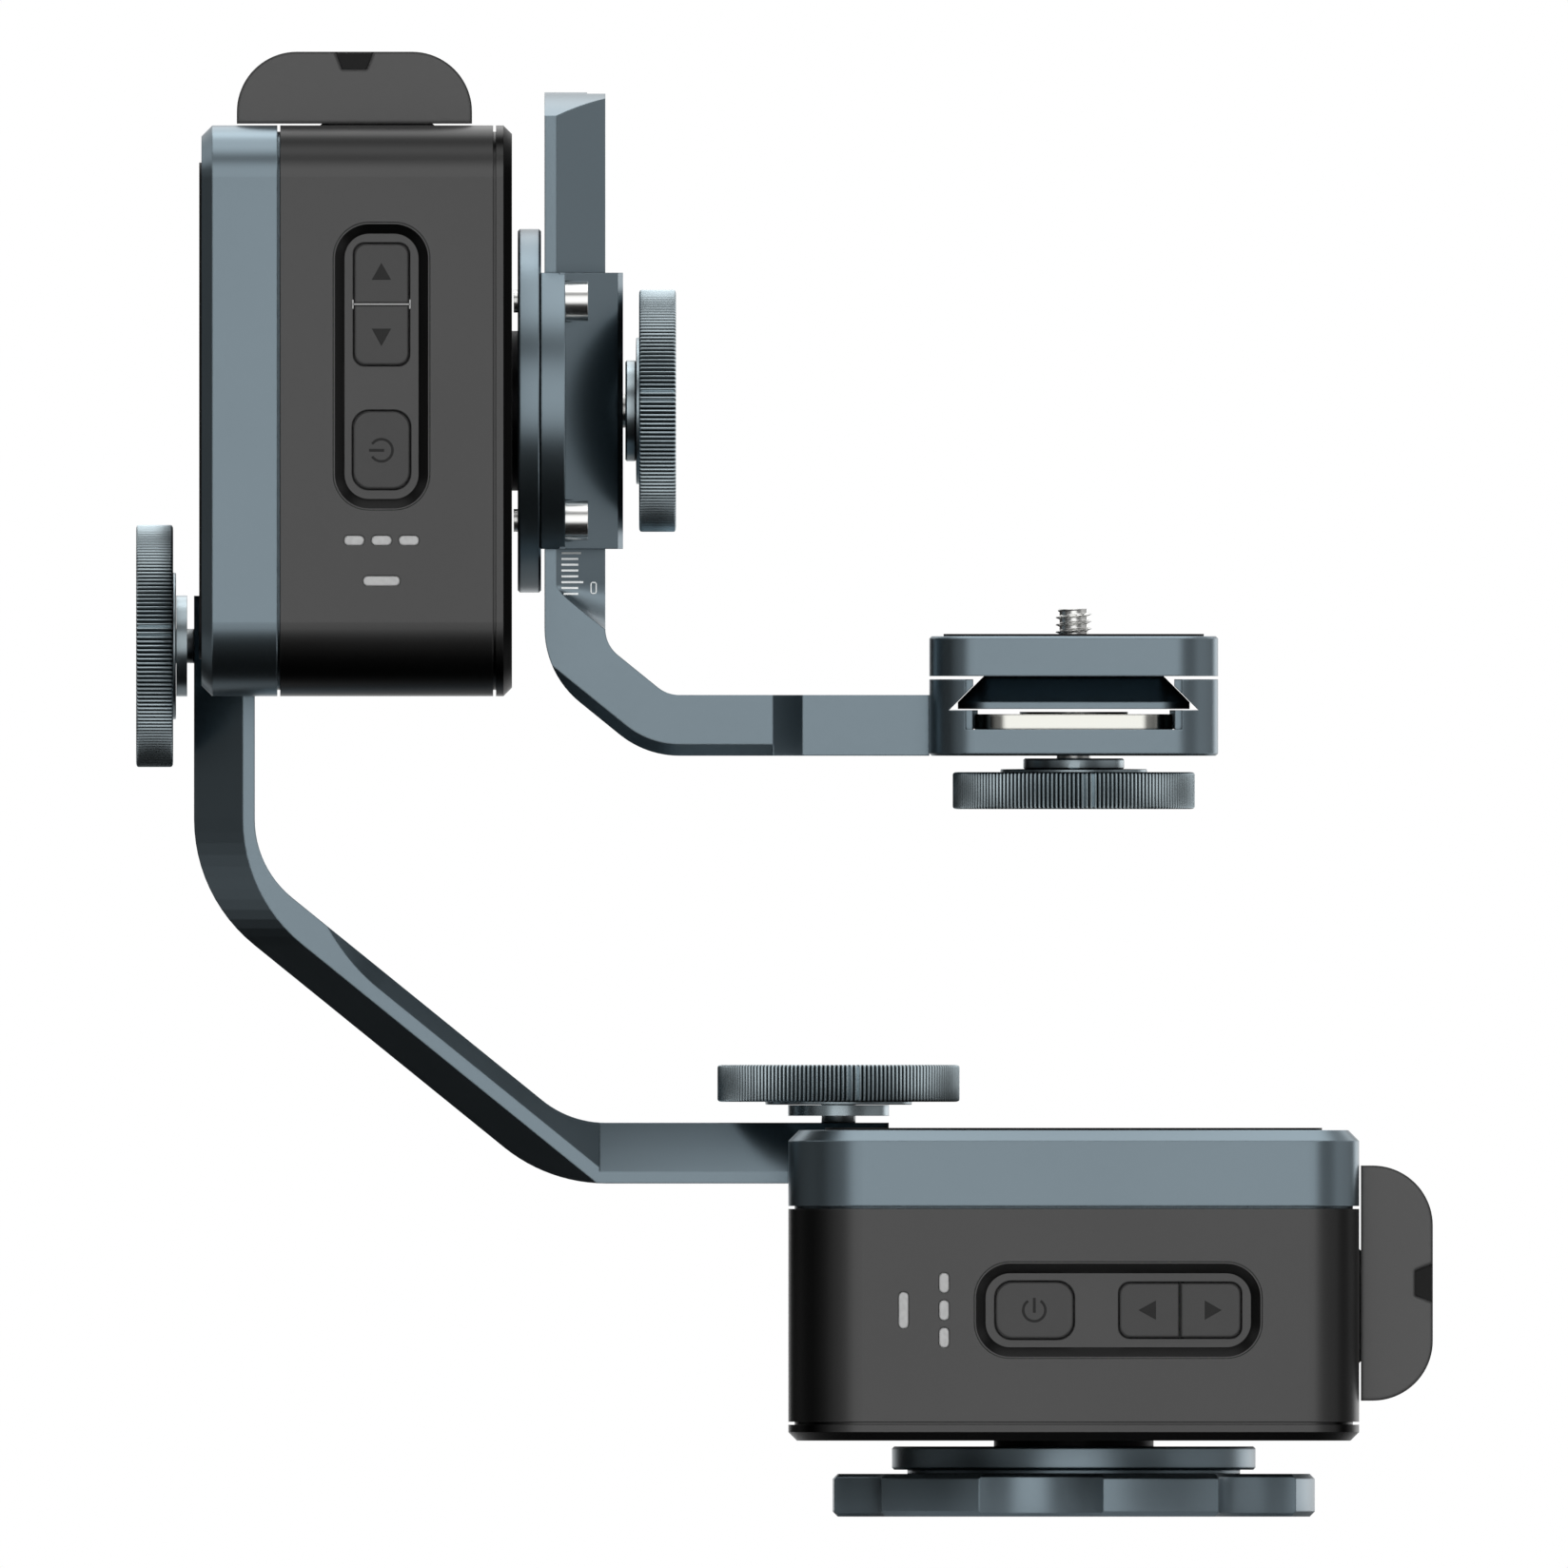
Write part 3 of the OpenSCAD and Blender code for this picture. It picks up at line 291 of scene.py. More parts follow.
# Scales of the drawn grains.
FINE_LAYERS = 3.0
RING_STRETCH = (0.25, 0.25, 3.0)
RIB_SCALE = 220.0
TRACK_SCALE = 320.0
CELLS_PER_GRAIN = 0.6

# Where a soft step starts and where it is full.
RUBBED_TURN = (0.02, 0.2)
RUBBED_SPOTS = (0.3, 0.7)
# The next four steps set the painted shade on slopes, edges, seams and grooves.
SLANT = (0.0, 0.28)
RIM_TURN = (0.02, 0.14)
SEAM_SHUT = (0.4, 0.75)
GROOVE_POINT = (0.47, 0.58)
TRACK_EDGE = (0.03, 0.07)

# Shares in a mix, and how far each part sways the roughness.
BROAD_SHARE = 0.7
RIB_SHARE = 0.85
PIT_SHARE = 0.6
MILK_SHARE = 0.35
ROUGH_BROAD = 0.08
ROUGH_FINE = 0.06
ROUGH_RUBBED = 0.05
WORN_FACTOR = 1.5
WORN_LIFT = 0.02

# Near-black painted in as shade on slopes, along edges, in seams and in grooves.
PAINTED_SHADE = (4, 4, 4)
TRACK_GREEN = (92, 132, 60)
MILK = (214, 216, 216)


@dataclass(frozen=True)
class Finish:
    """One finish of the head; every piece takes one.

    Tone is how far the colour wanders, edge how far rims are rubbed pale, and soft the radius in
    millimetres by which edges look rounded. Slope, rim, groove and seam are the share of the colour
    that is left where shade is painted in: on slanted faces, along edges, between ridges and in joints.
    """

    name: str
    colour: Point
    grain: Grain
    metallic: float = 0.0
    roughness: float = 0.45
    tone: float = 0.06
    bump: float = 0.12
    grain_mm: float = 0.3
    edge: float = 0.25
    soft: float = 0.12
    slope: float = 1.0
    rim: float = 1.0
    groove: float = 1.0
    gloss: float = 0.5
    seam: float = 1.0

    def material(self) -> bpy.types.Material:
        """Give the finish as a material, made on first use.

        Returns:
            The material.
        """
        name = f"finish_{self.name}"
        made = bpy.data.materials.get(name)
        if made is not None:
            return made
        made = bpy.data.materials.new(name)
        tree = Tree(made)
        fine = self.height(tree)
        broad = tree.noise(BROAD_MM, FINE_LAYERS)
        spots = tree.noise(SPOT_MM)
        soft = tree.value("ShaderNodeBevel", {"samples": 4}, {"Radius": self.soft * MM})
        turned = 1 - tree.dot(soft, tree.value("ShaderNodeNewGeometry", out="Normal"))
        rubbed = turned.smooth(*RUBBED_TURN) * spots.smooth(*RUBBED_SPOTS)
        base = linear(self.colour)
        darker, paler = tinted(base, 1 - self.tone), tinted(base, 1 + self.tone)
        toned = tree.mix(darker, paler, broad * BROAD_SHARE + fine * (1 - BROAD_SHARE))
        colour = tree.mix(toned, tinted(base, WORN_FACTOR, WORN_LIFT), rubbed * self.edge)
        colour = self.shade(tree, self.pattern(tree, colour), turned)
        even = self.roughness - (ROUGH_BROAD + ROUGH_FINE) / 2
        rough = broad * ROUGH_BROAD + fine * ROUGH_FINE + even - rubbed * ROUGH_RUBBED
        bump = tree.value("ShaderNodeBump", None, {
            "Strength": self.bump, "Distance": RELIEF_MM * MM, "Height": fine, "Normal": soft})
        tree.end(tree.node("ShaderNodeBsdfPrincipled", None, {
            "Base Color": colour, "Roughness": rough, "Metallic": self.metallic, "Normal": bump,
            "Specular IOR Level": self.gloss}))
        return made

    def shade(self, tree: Tree, colour: Sock, turned: Sock) -> Sock:
        """Paint shade into the colour: on slopes, along edges, in seams and in grooves.

        Args:
            tree: Tree of the material.
            colour: Colour so far.
            turned: How far the surface turns away at the nearest edge.

        Returns:
            The deepened colour.
        """
        shade_colour = linear(PAINTED_SHADE)
        # Painted shade: slanted faces, those not square to the axes, are darkened.
        if self.slope < 1:
            normal = tree.value("ShaderNodeTexCoord", out="Normal")
            flat = tree.value("ShaderNodeVectorMath", {"operation": "ABSOLUTE"}, {0: normal})
            split = tree.node("ShaderNodeSeparateXYZ", None, {0: flat})
            x, y, z = (Sock(tree, out) for out in split.outputs)
            slant = 1 - x.most(y.most(z))
            colour = tree.mix(colour, shade_colour, slant.smooth(*SLANT) * (1 - self.slope))
        # Painted shade: a dark line along edges, where their rounded look turns away.
        if self.rim < 1:
            colour = tree.mix(colour, shade_colour, turned.smooth(*RIM_TURN) * (1 - self.rim))
        # Painted shade: ambient occlusion darkens narrow joints and the lines where parts meet.
        if self.seam < 1:
            near = {"Distance": SEAM_MM * MM}
            shut = 1 - tree.value("ShaderNodeAmbientOcclusion", {"samples": 6}, near, "AO")
            colour = tree.mix(colour, shade_colour, shut.smooth(*SEAM_SHUT) * (1 - self.seam))
        # Painted shade: low pointiness darkens the valleys between ridges; flat faces are darkened too.
        if self.groove < 1:
            point = tree.value("ShaderNodeNewGeometry", out="Pointiness")
            colour = tree.mix(colour, shade_colour, (1 - point.smooth(*GROOVE_POINT)) * (1 - self.groove))
        return colour

    def height(self, tree: Tree) -> Sock:
        """Give the fine relief of the grain.

        Args:
            tree: Tree of the material.

        Returns:
            The height from 0 to 1.
        """
        if self.grain is Grain.TURNED:
            return tree.noise(self.grain_mm, stretch=RING_STRETCH)
        if self.grain is Grain.RIBBED:
            ribs = tree.value("ShaderNodeTexWave", {"wave_type": "BANDS", "bands_direction": "Y"},
                              {"Vector": tree.place(), "Scale": RIB_SCALE, "Distortion": 0.0})
            return ribs * RIB_SHARE + tree.noise(self.grain_mm) * (1 - RIB_SHARE)
        if self.grain is Grain.TRACKS:
            return self.tracks(tree)
        pits = tree.noise(self.grain_mm, FINE_LAYERS)
        if self.grain is Grain.MOULDED:
            cells = tree.value("ShaderNodeTexVoronoi", {"feature": "SMOOTH_F1"},
                               {"Vector": tree.place(), "Scale": CELLS_PER_GRAIN / (self.grain_mm * MM)})
            return pits * PIT_SHARE + cells * (1 - PIT_SHARE)
        return pits

    def pattern(self, tree: Tree, colour: Sock) -> Sock:
        """Lay the grain's own drawing over the colour.

        Args:
            tree: Tree of the material.
            colour: Colour so far.

        Returns:
            The colour with the drawing.
        """
        if self.grain is Grain.TRACKS:
            return tree.mix(linear(TRACK_GREEN), colour, self.tracks(tree).smooth(*TRACK_EDGE))
        if self.grain is Grain.FROSTED:
            return tree.mix(colour, linear(MILK), tree.noise(MILK_MM) * MILK_SHARE)
        return colour

    @staticmethod
    def tracks(tree: Tree) -> Sock:
        """Give the distance to the nearest track."""
        kind = {"feature": "DISTANCE_TO_EDGE", "distance": "CHEBYCHEV"}
        return tree.value("ShaderNodeTexVoronoi", kind, {"Vector": tree.place(), "Scale": TRACK_SCALE})


# A slope, rim, groove or seam below 1 paints shade into the finish's colour.
BLUE_GREY = Finish("blue_grey_anodising", (123, 137, 145), Grain.BLASTED, metallic=1.0, roughness=0.3,
                   tone=0.03, bump=0.05, grain_mm=0.16, edge=0.2, soft=0.35, seam=0.03)
DARK_METAL = Finish("dark_anodising", (83, 83, 83), Grain.BLASTED, metallic=1.0, roughness=0.33,
                    tone=0.03, bump=0.06, grain_mm=0.2, edge=0.1, soft=0.2, slope=0.25, seam=0.05)
COVER = Finish("cover_anodising", (82, 82, 82), Grain.BLASTED, metallic=1.0, roughness=0.33,
               tone=0.03, bump=0.06, grain_mm=0.2, edge=0.0, soft=0.15, slope=0.02, rim=0.3)
BLACK_METAL = Finish("black_anodising", (34, 34, 35), Grain.BLASTED, metallic=0.8, roughness=0.36,
                     tone=0.05, bump=0.06, grain_mm=0.2)
# The knob's groove share paints shade between its ridges and over its flat faces.
KNOB_METAL = Finish("knob_anodising", (180, 194, 200), Grain.BLASTED, metallic=1.0, roughness=0.28,
                    tone=0.05, bump=0.05, grain_mm=0.2, groove=0.04)
BLACK_CASE = Finish("black_case", (24, 24, 24), Grain.MOULDED, roughness=0.5, tone=0.08,
                    slope=0.4, gloss=0.15)
DARK_CASE = Finish("dark_case", (87, 87, 87), Grain.MOULDED, metallic=0.85, roughness=0.36,
                   tone=0.04, bump=0.06, edge=0.0, soft=0.9, slope=0.4, rim=0.12)
KEY_GREY = Finish("key_grey", (75, 75, 75), Grain.MOULDED, metallic=0.85, roughness=0.36,
                  tone=0.04, bump=0.05, grain_mm=0.2, edge=0.0, soft=0.65, slope=0.1, rim=0.02)
BEZEL = Finish("key_tray", (81, 81, 81), Grain.MOULDED, metallic=0.85, roughness=0.36,
               tone=0.04, bump=0.05, grain_mm=0.2, edge=0.0, soft=0.2, slope=0.22, rim=0.3)
MARK_GREY = Finish("key_mark", (38, 38, 38), Grain.MOULDED, metallic=0.6, tone=0.05, bump=0.05,
                   grain_mm=0.2, edge=0.0)
DIVIDER = Finish("key_divider", (150, 150, 150), Grain.MOULDED, roughness=0.5, tone=0.03, bump=0.05,
                 grain_mm=0.2, edge=0.0)
SCALE_WHITE = Finish("scale_white", (225, 229, 229), Grain.MOULDED, roughness=0.55, tone=0.02, bump=0.05,
                     grain_mm=0.2, edge=0.0)
LAMP = Finish("lamp_window", (152, 152, 152), Grain.FROSTED, roughness=0.35, tone=0.03, bump=0.03,
              grain_mm=0.4, edge=0.0, soft=0.45, rim=0.02, gloss=0.0)
BRIGHT_STEEL = Finish("bright_steel", (240, 240, 238), Grain.TURNED, metallic=1.0, roughness=0.22,
                      tone=0.03, bump=0.02, grain_mm=0.35)
POLISHED_METAL = Finish("polished_metal", (224, 224, 217), Grain.TURNED, metallic=1.0, roughness=0.16,
                        tone=0.03, bump=0.02, grain_mm=0.35, edge=0.0, soft=0.5, slope=0.03, rim=0.02)
SCREW_STEEL = Finish("screw_steel", (246, 246, 244), Grain.TURNED, metallic=1.0, roughness=0.24,
                     tone=0.04, bump=0.08)
MOTOR_STEEL = Finish("motor_steel", (158, 158, 160), Grain.TURNED, metallic=1.0, roughness=0.32,
                     grain_mm=0.5)
BEARING_STEEL = Finish("bearing_steel", (201, 202, 204), Grain.TURNED, metallic=1.0, roughness=0.2,
                       tone=0.03, bump=0.06)
GEAR_BRASS = Finish("gear_brass", (203, 178, 117), Grain.TURNED, metallic=1.0, roughness=0.3,
                    tone=0.05, bump=0.1, grain_mm=0.4)
BOARD = Finish("solder_mask", (38, 97, 63), Grain.TRACKS, roughness=0.35, tone=0.08, bump=0.2,
               grain_mm=0.5, edge=0.0)
GRIP = Finish("grip_rubber", (26, 26, 27), Grain.RIBBED, roughness=0.75, tone=0.08, bump=0.6,
              edge=0.0, gloss=0.2)

# Finish of each material slot of the record, and of the solids that differ from their slot.
SLOTS: dict[str, Finish] = {
    "blue_grey_metal": BLUE_GREY, "black_metal": BLACK_METAL, "gear_brass": GEAR_BRASS,
    "bearing_steel": BEARING_STEEL, "motor_steel": MOTOR_STEEL, "black_case": BLACK_CASE,
    "dark_case": DARK_CASE, "dark_metal": DARK_METAL, "screw_steel": SCREW_STEEL, "board_green": BOARD,
    "key_grey": KEY_GREY, "lamp_window": LAMP, "bright_steel": BRIGHT_STEEL,
    "polished_metal": POLISHED_METAL, "grip_rubber": GRIP, "knob_metal": KNOB_METAL,
}
# The bezel takes deeper painted shade on its slopes, the base cover on its slopes and edges.
SPECIAL: dict[str, Finish] = {"button_bezel": BEZEL, "base_cover": COVER}


def box_mm(node: str) -> tuple[Vector, Vector]:
    """Give the lowest and highest corner of a solid at rest, in millimetres."""
    low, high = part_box(node)
    return Vector(low) / MM, Vector(high) / MM


def tilt_place() -> Matrix:
    """Work out where the tilt unit stands: it is the pan unit turned on its side.

    Returns:
        The place in millimetres.
    """
    foot = box_mm("pan_housing")[0].z
    low, high = box_mm("tilt_housing")
    middle = (low.z + high.z) / 2
    return Matrix(((0, 0, -1, high.x + foot), (0, 1, 0, 0), (1, 0, 0, middle), (0, 0, 0, 1)))


def mesh_piece(name: str, skin: Skin, place: Matrix, smooth: float | None = None) -> bpy.types.Object:
    """Make a mesh object from a skin in millimetres.

    Args:
        name: Name of the piece.
        skin: Its points in the frame of its unit, and its faces.
        place: Where the unit's frame stands, in millimetres.
        smooth: Angle in degrees under which edges are shaded round, or None for flat faces.

    Returns:
        The object, linked to the scene.
    """
    points, faces = skin
    mesh = bpy.data.meshes.new(name)
    mesh.from_pydata([tuple((place @ Vector(p)) * MM) for p in points], [], faces)
    work = bmesh.new()
    work.from_mesh(mesh)
    bmesh.ops.recalc_face_normals(work, faces=work.faces[:])
    for face in work.faces:
        face.smooth = smooth is not None
    for edge in work.edges:
        if smooth is not None and len(edge.link_faces) == 2:
            edge.smooth = edge.calc_face_angle(0.0) < math.radians(smooth)
    work.to_mesh(mesh)
    work.free()
    piece = bpy.data.objects.new(name, mesh)
    bpy.context.scene.collection.objects.link(piece)
    return piece


def lathe(rings: Sequence[Sequence[Point]]) -> Skin:
    """Join rings of equal count into a closed skin.

    Args:
        rings: Rings of points, one above the other.

    Returns:
        Points and faces.
    """
    count = len(rings[0])
    points = [p for ring in rings for p in ring]
    faces: list[list[int]] = []
    for k in range(len(rings) - 1):
        for i in range(count):
            j = (i + 1) % count
            faces.append([k * count + i, k * count + j, (k + 1) * count + j, (k + 1) * count + i])
    top = (len(rings) - 1) * count
    faces.append(list(range(count - 1, -1, -1)))
    faces.append([top + i for i in range(count)])
    return points, faces


def revolve(rows: Sequence[Flat], count: int) -> Skin:
    """Turn a profile round the z axis.

    Args:
        rows: Radius and height of each ring.
        count: Points in a ring.

    Returns:
        Points and faces.
    """
    turns = [2 * math.pi * i / count for i in range(count)]
    return lathe([[(r * math.cos(t), r * math.sin(t), z) for t in turns] for r, z in rows])


def joined(parts: Iterable[Skin]) -> Skin:
    """Put several skins into one.

    Args:
        parts: The skins.

    Returns:
        All points and faces.
    """
    points: list[Point] = []
    faces: list[list[int]] = []
    for more, skin in parts:
        faces += [[len(points) + i for i in face] for face in skin]
        points += more
    return points, faces


def slab(outline: Sequence[Flat], low: float, high: float) -> Skin:
    """Raise a flat outline in x and z between two depths in y.

    Args:
        outline: Corners in order.
        low: Front depth.
        high: Back depth.

    Returns:
        Points and faces.
    """
    return lathe([[(x, low, z) for x, z in outline], [(x, high, z) for x, z in outline]])


def sideways(a: Flat, b: Flat, width: float) -> Flat:
    """Give the step from the middle of a line to its left edge.

    Args:
        a: First end of the line.
        b: Second end.
        width: Width of the line.

    Returns:
        The step in x and z.
    """
    run = math.hypot(b[0] - a[0], b[1] - a[1])
    return (a[1] - b[1]) / run * width / 2, (b[0] - a[0]) / run * width / 2


def stroke(path: Sequence[Flat], width: float) -> list[Flat]:
    """Give the outline of a line of even width.

    Args:
        path: Points along the middle of the line.
        width: Width of the line.

    Returns:
        Corners of the outline.
    """
    left, right = [], []
    for i, (x, z) in enumerate(path):
        dx, dz = sideways(path[max(i - 1, 0)], path[min(i + 1, len(path) - 1)], width)
        left.append((x + dx, z + dz))
        right.append((x - dx, z - dz))
    return left + right[::-1]


@dataclass
class Knob:
    """Knurled clamp knob, drawn along +z from its seat and then turned.

    Its place, radius and height are those of its node. The edge gives inset, drop and share of the ridges
    at each ring round an edge of the rim, the top of the collar its insets and drops, and the hub its radii
    and depths under the top.
    """

    node: str
    body: str
    turn: Matrix
    collar: bool
    step_r: float = 12.85
    step_t: float = 0.5
    step_edge: Flat = (0.15, 0.12)
    step_lap: float = 0.3
    collar_r: float = 8.85
    collar_t: float = 1.9
    collar_edge: float = 0.3
    collar_top: tuple[Flat, ...] = ((0.0, 0.25), (0.2, 0.05))
    ridges: int = 172
    ridge_depth: float = 0.42
    ridge_power: float = 0.8
    ridge_samples: int = 6
    edge: tuple[Point, ...] = ((0.9, 0.0, 0.0), (0.42, 0.04, 0.35), (0.1, 0.2, 0.85), (0.0, 0.45, 1.0))
    web: float = 5.0
    web_rise: float = 0.02
    brim: float = 2.6
    dish_wall: float = 0.4
    dish_depth: float = 0.35
    dish_web: float = 8.0
    hub: tuple[Flat, ...] = ((6.2, 0.5), (6.2, 0.15), (6.0, 0.02), (4.0, 0.02), (3.6, 0.4), (3.6, 0.45))
    foot_sides: int = 96
    hub_sides: int = 64
    smooth: float = 32.0

    def measure(self) -> tuple[Matrix, float, float]:
        """Measure the node; the y axis lies across every knob.

        Returns:
            Place of the seat, radius and height.
        """
        low, high = box_mm(self.node)
        half = (high - low) / 2
        way = self.turn.to_3x3() @ Vector((0, 0, 1))
        reach = Vector(w * h for w, h in zip(way, half))
        return Matrix.Translation((low + high) / 2 - reach) @ self.turn, half.y, 2 * reach.length

    def ring(self, radius: float, height: float, depth: float) -> list[Point]:
        """Give one ring of the knurled rim.

        Args:
            radius: Radius over the ridges.
            height: Height on the axis.
            depth: Depth between the ridges.

        Returns:
            The ring's points.
        """
        count = self.ridges * self.ridge_samples
        out = []
        for i in range(count):
            turn = 2 * math.pi * i / count
            r = radius - depth * (1 - abs(math.cos(self.ridges * turn / 2))) ** self.ridge_power
            out.append((r * math.cos(turn), r * math.sin(turn), height))
        return out

    def rim(self, r: float, low: float, high: float) -> Skin:
        """Build the knurled rim with its dished top.

        Args:
            r: Its radius over the ridges.
            low: Height of its underside.
            high: Height of its top.

        Returns:
            Points and faces.
        """
        deep = self.ridge_depth
        dish = high - self.dish_depth
        rows = [(r - self.web, low + self.web_rise, 0.0)]
        rows += [(r - inset, low + drop, deep * share) for inset, drop, share in self.edge]
        rows += [(r - inset, high - drop, deep * share) for inset, drop, share in reversed(self.edge)]
        rows += [(r - self.brim, high, 0.0), (r - self.brim - self.dish_wall, dish, 0.0),
                 (r - self.dish_web, dish, 0.0)]
        return lathe([self.ring(*row) for row in rows])

    def foot(self, base: float, low: float) -> Skin:
        """Build the step under the rim, and the collar where the knob has one.

        Args:
            base: Height of the foot of the step.
            low: Height of the underside of the rim.

        Returns:
            Points and faces.
        """
        inset, rise = self.step_edge
        rows = [(self.step_r - inset, base), (self.step_r, base + rise), (self.step_r, low + self.step_lap)]
        if self.collar:
            top = [(self.collar_r - back, base - drop) for back, drop in self.collar_top]
            rows = [(self.collar_r - self.collar_edge, 0.0), (self.collar_r, self.collar_edge)] + top + rows
        return revolve(rows, self.foot_sides)

    def build(self) -> bpy.types.Object:
        """Build the knob in place of its node.

        Returns:
            The piece.
        """
        place, radius, high = self.measure()
        base = self.collar_t if self.collar else 0.0
        low = base + self.step_t
        hub = revolve([(r, high - depth) for r, depth in self.hub], self.hub_sides)
        skin = joined([self.rim(radius, low, high), self.foot(base, low), hub])
        piece = mesh_piece(f"{self.node}_knurled", skin, place, self.smooth)
        piece.data.materials.append(KNOB_METAL.material())
        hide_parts(self.node)
        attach(piece, self.body)
        return piece


@dataclass
class ThreadedRod:
    """Stud or screw with a real thread and a plain part, drawn along +z.

    The plain part has radii and heights. The depth of the thread and its run-out are shares of the pitch.
    """

    node: str
    body: str
    place: Matrix
    low: float
    high: float
    radius: float
    pitch: float
    plain: Sequence[Flat]
    depth: float = 0.52
    run_out: float = 0.55
    crest: float = 1.2
    flank: float = 5.2
    rows_per_turn: int = 14
    thread_sides: int = 48
    plain_sides: int = 64
    smooth: float = 50.0

    def thread(self) -> Skin:
        """Cut the thread.

        Returns:
            Points and faces.
        """
        rows = round((self.high - self.low) / self.pitch * self.rows_per_turn)
        run = self.run_out * self.pitch
        rings = []
        for k in range(rows + 1):
            z = self.low + (self.high - self.low) * k / rows
            taper = max(0.0, min(1.0, (self.high - z) / run, (z - self.low) / run))
            ring = []
            for i in range(self.thread_sides):
                turn = 2 * math.pi * i / self.thread_sides
                phase = (z / self.pitch - i / self.thread_sides) % 1.0
                rise = min(1.0, max(0.0, self.crest - abs(phase - 0.5) * self.flank))
                r = self.radius - self.depth * self.pitch * (1 - rise * taper)
                ring.append((r * math.cos(turn), r * math.sin(turn), z))
            rings.append(ring)
        return lathe(rings)

    def build(self) -> bpy.types.Object:
        """Build the rod in place of its node.

        Returns:
            The piece.
        """
        skin = joined([self.thread(), revolve(self.plain, self.plain_sides)])
        piece = mesh_piece(f"{self.node}_threaded", skin, self.place, self.smooth)
        piece.data.materials.append(BRIGHT_STEEL.material())
        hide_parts(self.node)
        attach(piece, self.body)
        return piece


@dataclass
class Fixings:
    """The four knobs, the studs of the two arm knobs and the camera screw.

    Their ends are those of their nodes.
    """

    tilt: Matrix
    stud_r: float = 3.0
    stud_pitch: float = 1.0
    stud_run: float = 12.5
    stud_lap: float = 0.1
    shank_drop: float = 0.35
    screw_r: float = 3.175
    screw_pitch: float = 1.27
    screw_lap: float = 0.275
    head_t: float = 3.2
    neck_r: float = 2.3
    bevel: float = 0.3

    def stud(self, unit: str, place: Matrix) -> bpy.types.Object:
        """Build the stud of an arm knob; both have the sizes of the pan unit's.

        Args:
            unit: Name of the unit.
            place: Where the unit's frame stands.

        Returns:
            The piece.
        """
        knob_low, knob_high = box_mm("pan_arm_knob")
        axis = Matrix.Translation(((knob_low.x + knob_high.x) / 2, 0, 0))
        low, high = (corner.z for corner in box_mm("pan_arm_screw"))
        end = low + self.stud_run
        start = end - self.stud_lap
        r, slim = self.stud_r, self.stud_r - self.bevel
        shank = [(slim, start), (r, start + self.bevel), (r, high - self.shank_drop), (slim, high)]
        return ThreadedRod(f"{unit}_arm_screw", f"{unit}_arm_knob", place @ axis, low, end, r,
                           self.stud_pitch, shank).build()

    def camera_screw(self) -> bpy.types.Object:
        """Build the camera screw.

        Returns:
            The piece.
        """
        low, high = box_mm("camera_screw")
        top = low.z + self.head_t
        r, slim = high.y, high.y - self.bevel
        head = [(slim, low.z), (r, low.z + self.bevel), (r, top - self.bevel), (slim, top),
                (self.neck_r, top)]
        return ThreadedRod("camera_screw", "camera_screw", PAN, top - self.screw_lap, high.z, self.screw_r,
                           self.screw_pitch, head).build()

    def build(self) -> list[bpy.types.Object]:
        """Build all fixings.

        Returns:
            The pieces.
        """
        over = Matrix.Rotation(math.pi, 4, "X")
        aside = self.tilt.to_3x3().to_4x4()
        return [
            Knob("pan_arm_knob", "pan_arm_knob", PAN, False).build(),
            self.stud("pan", PAN),
            Knob("tilt_arm_knob", "tilt_arm_knob", aside, False).build(),
            self.stud("tilt", self.tilt),
            Knob("clamp_knob", "clamp_knob", aside @ over, True).build(),
            Knob("quick_release_knob", "release_knob", over, True).build(),
            self.camera_screw(),
        ]


@dataclass
class Dresser:
    """Gives the carried-over solids their finish."""

    frame: dict[str, Any]
    done: list[str] = field(default_factory=list)

    def dress(self, node: str) -> None:
        """Finish one solid.

        Args:
            node: Name of the solid.
        """
        piece = self.frame["nodes"][node]
        slot = next(p["material_slot"] for p in self.frame["record"]["subparts"] if p["node"] == node)
        finish = next((look for end, look in SPECIAL.items() if node.endswith(end)), SLOTS[slot])
        if not piece.material_slots:
            piece.data.materials.append(finish.material())
        for one in piece.material_slots:
            one.material = finish.material()
        self.done.append(node)


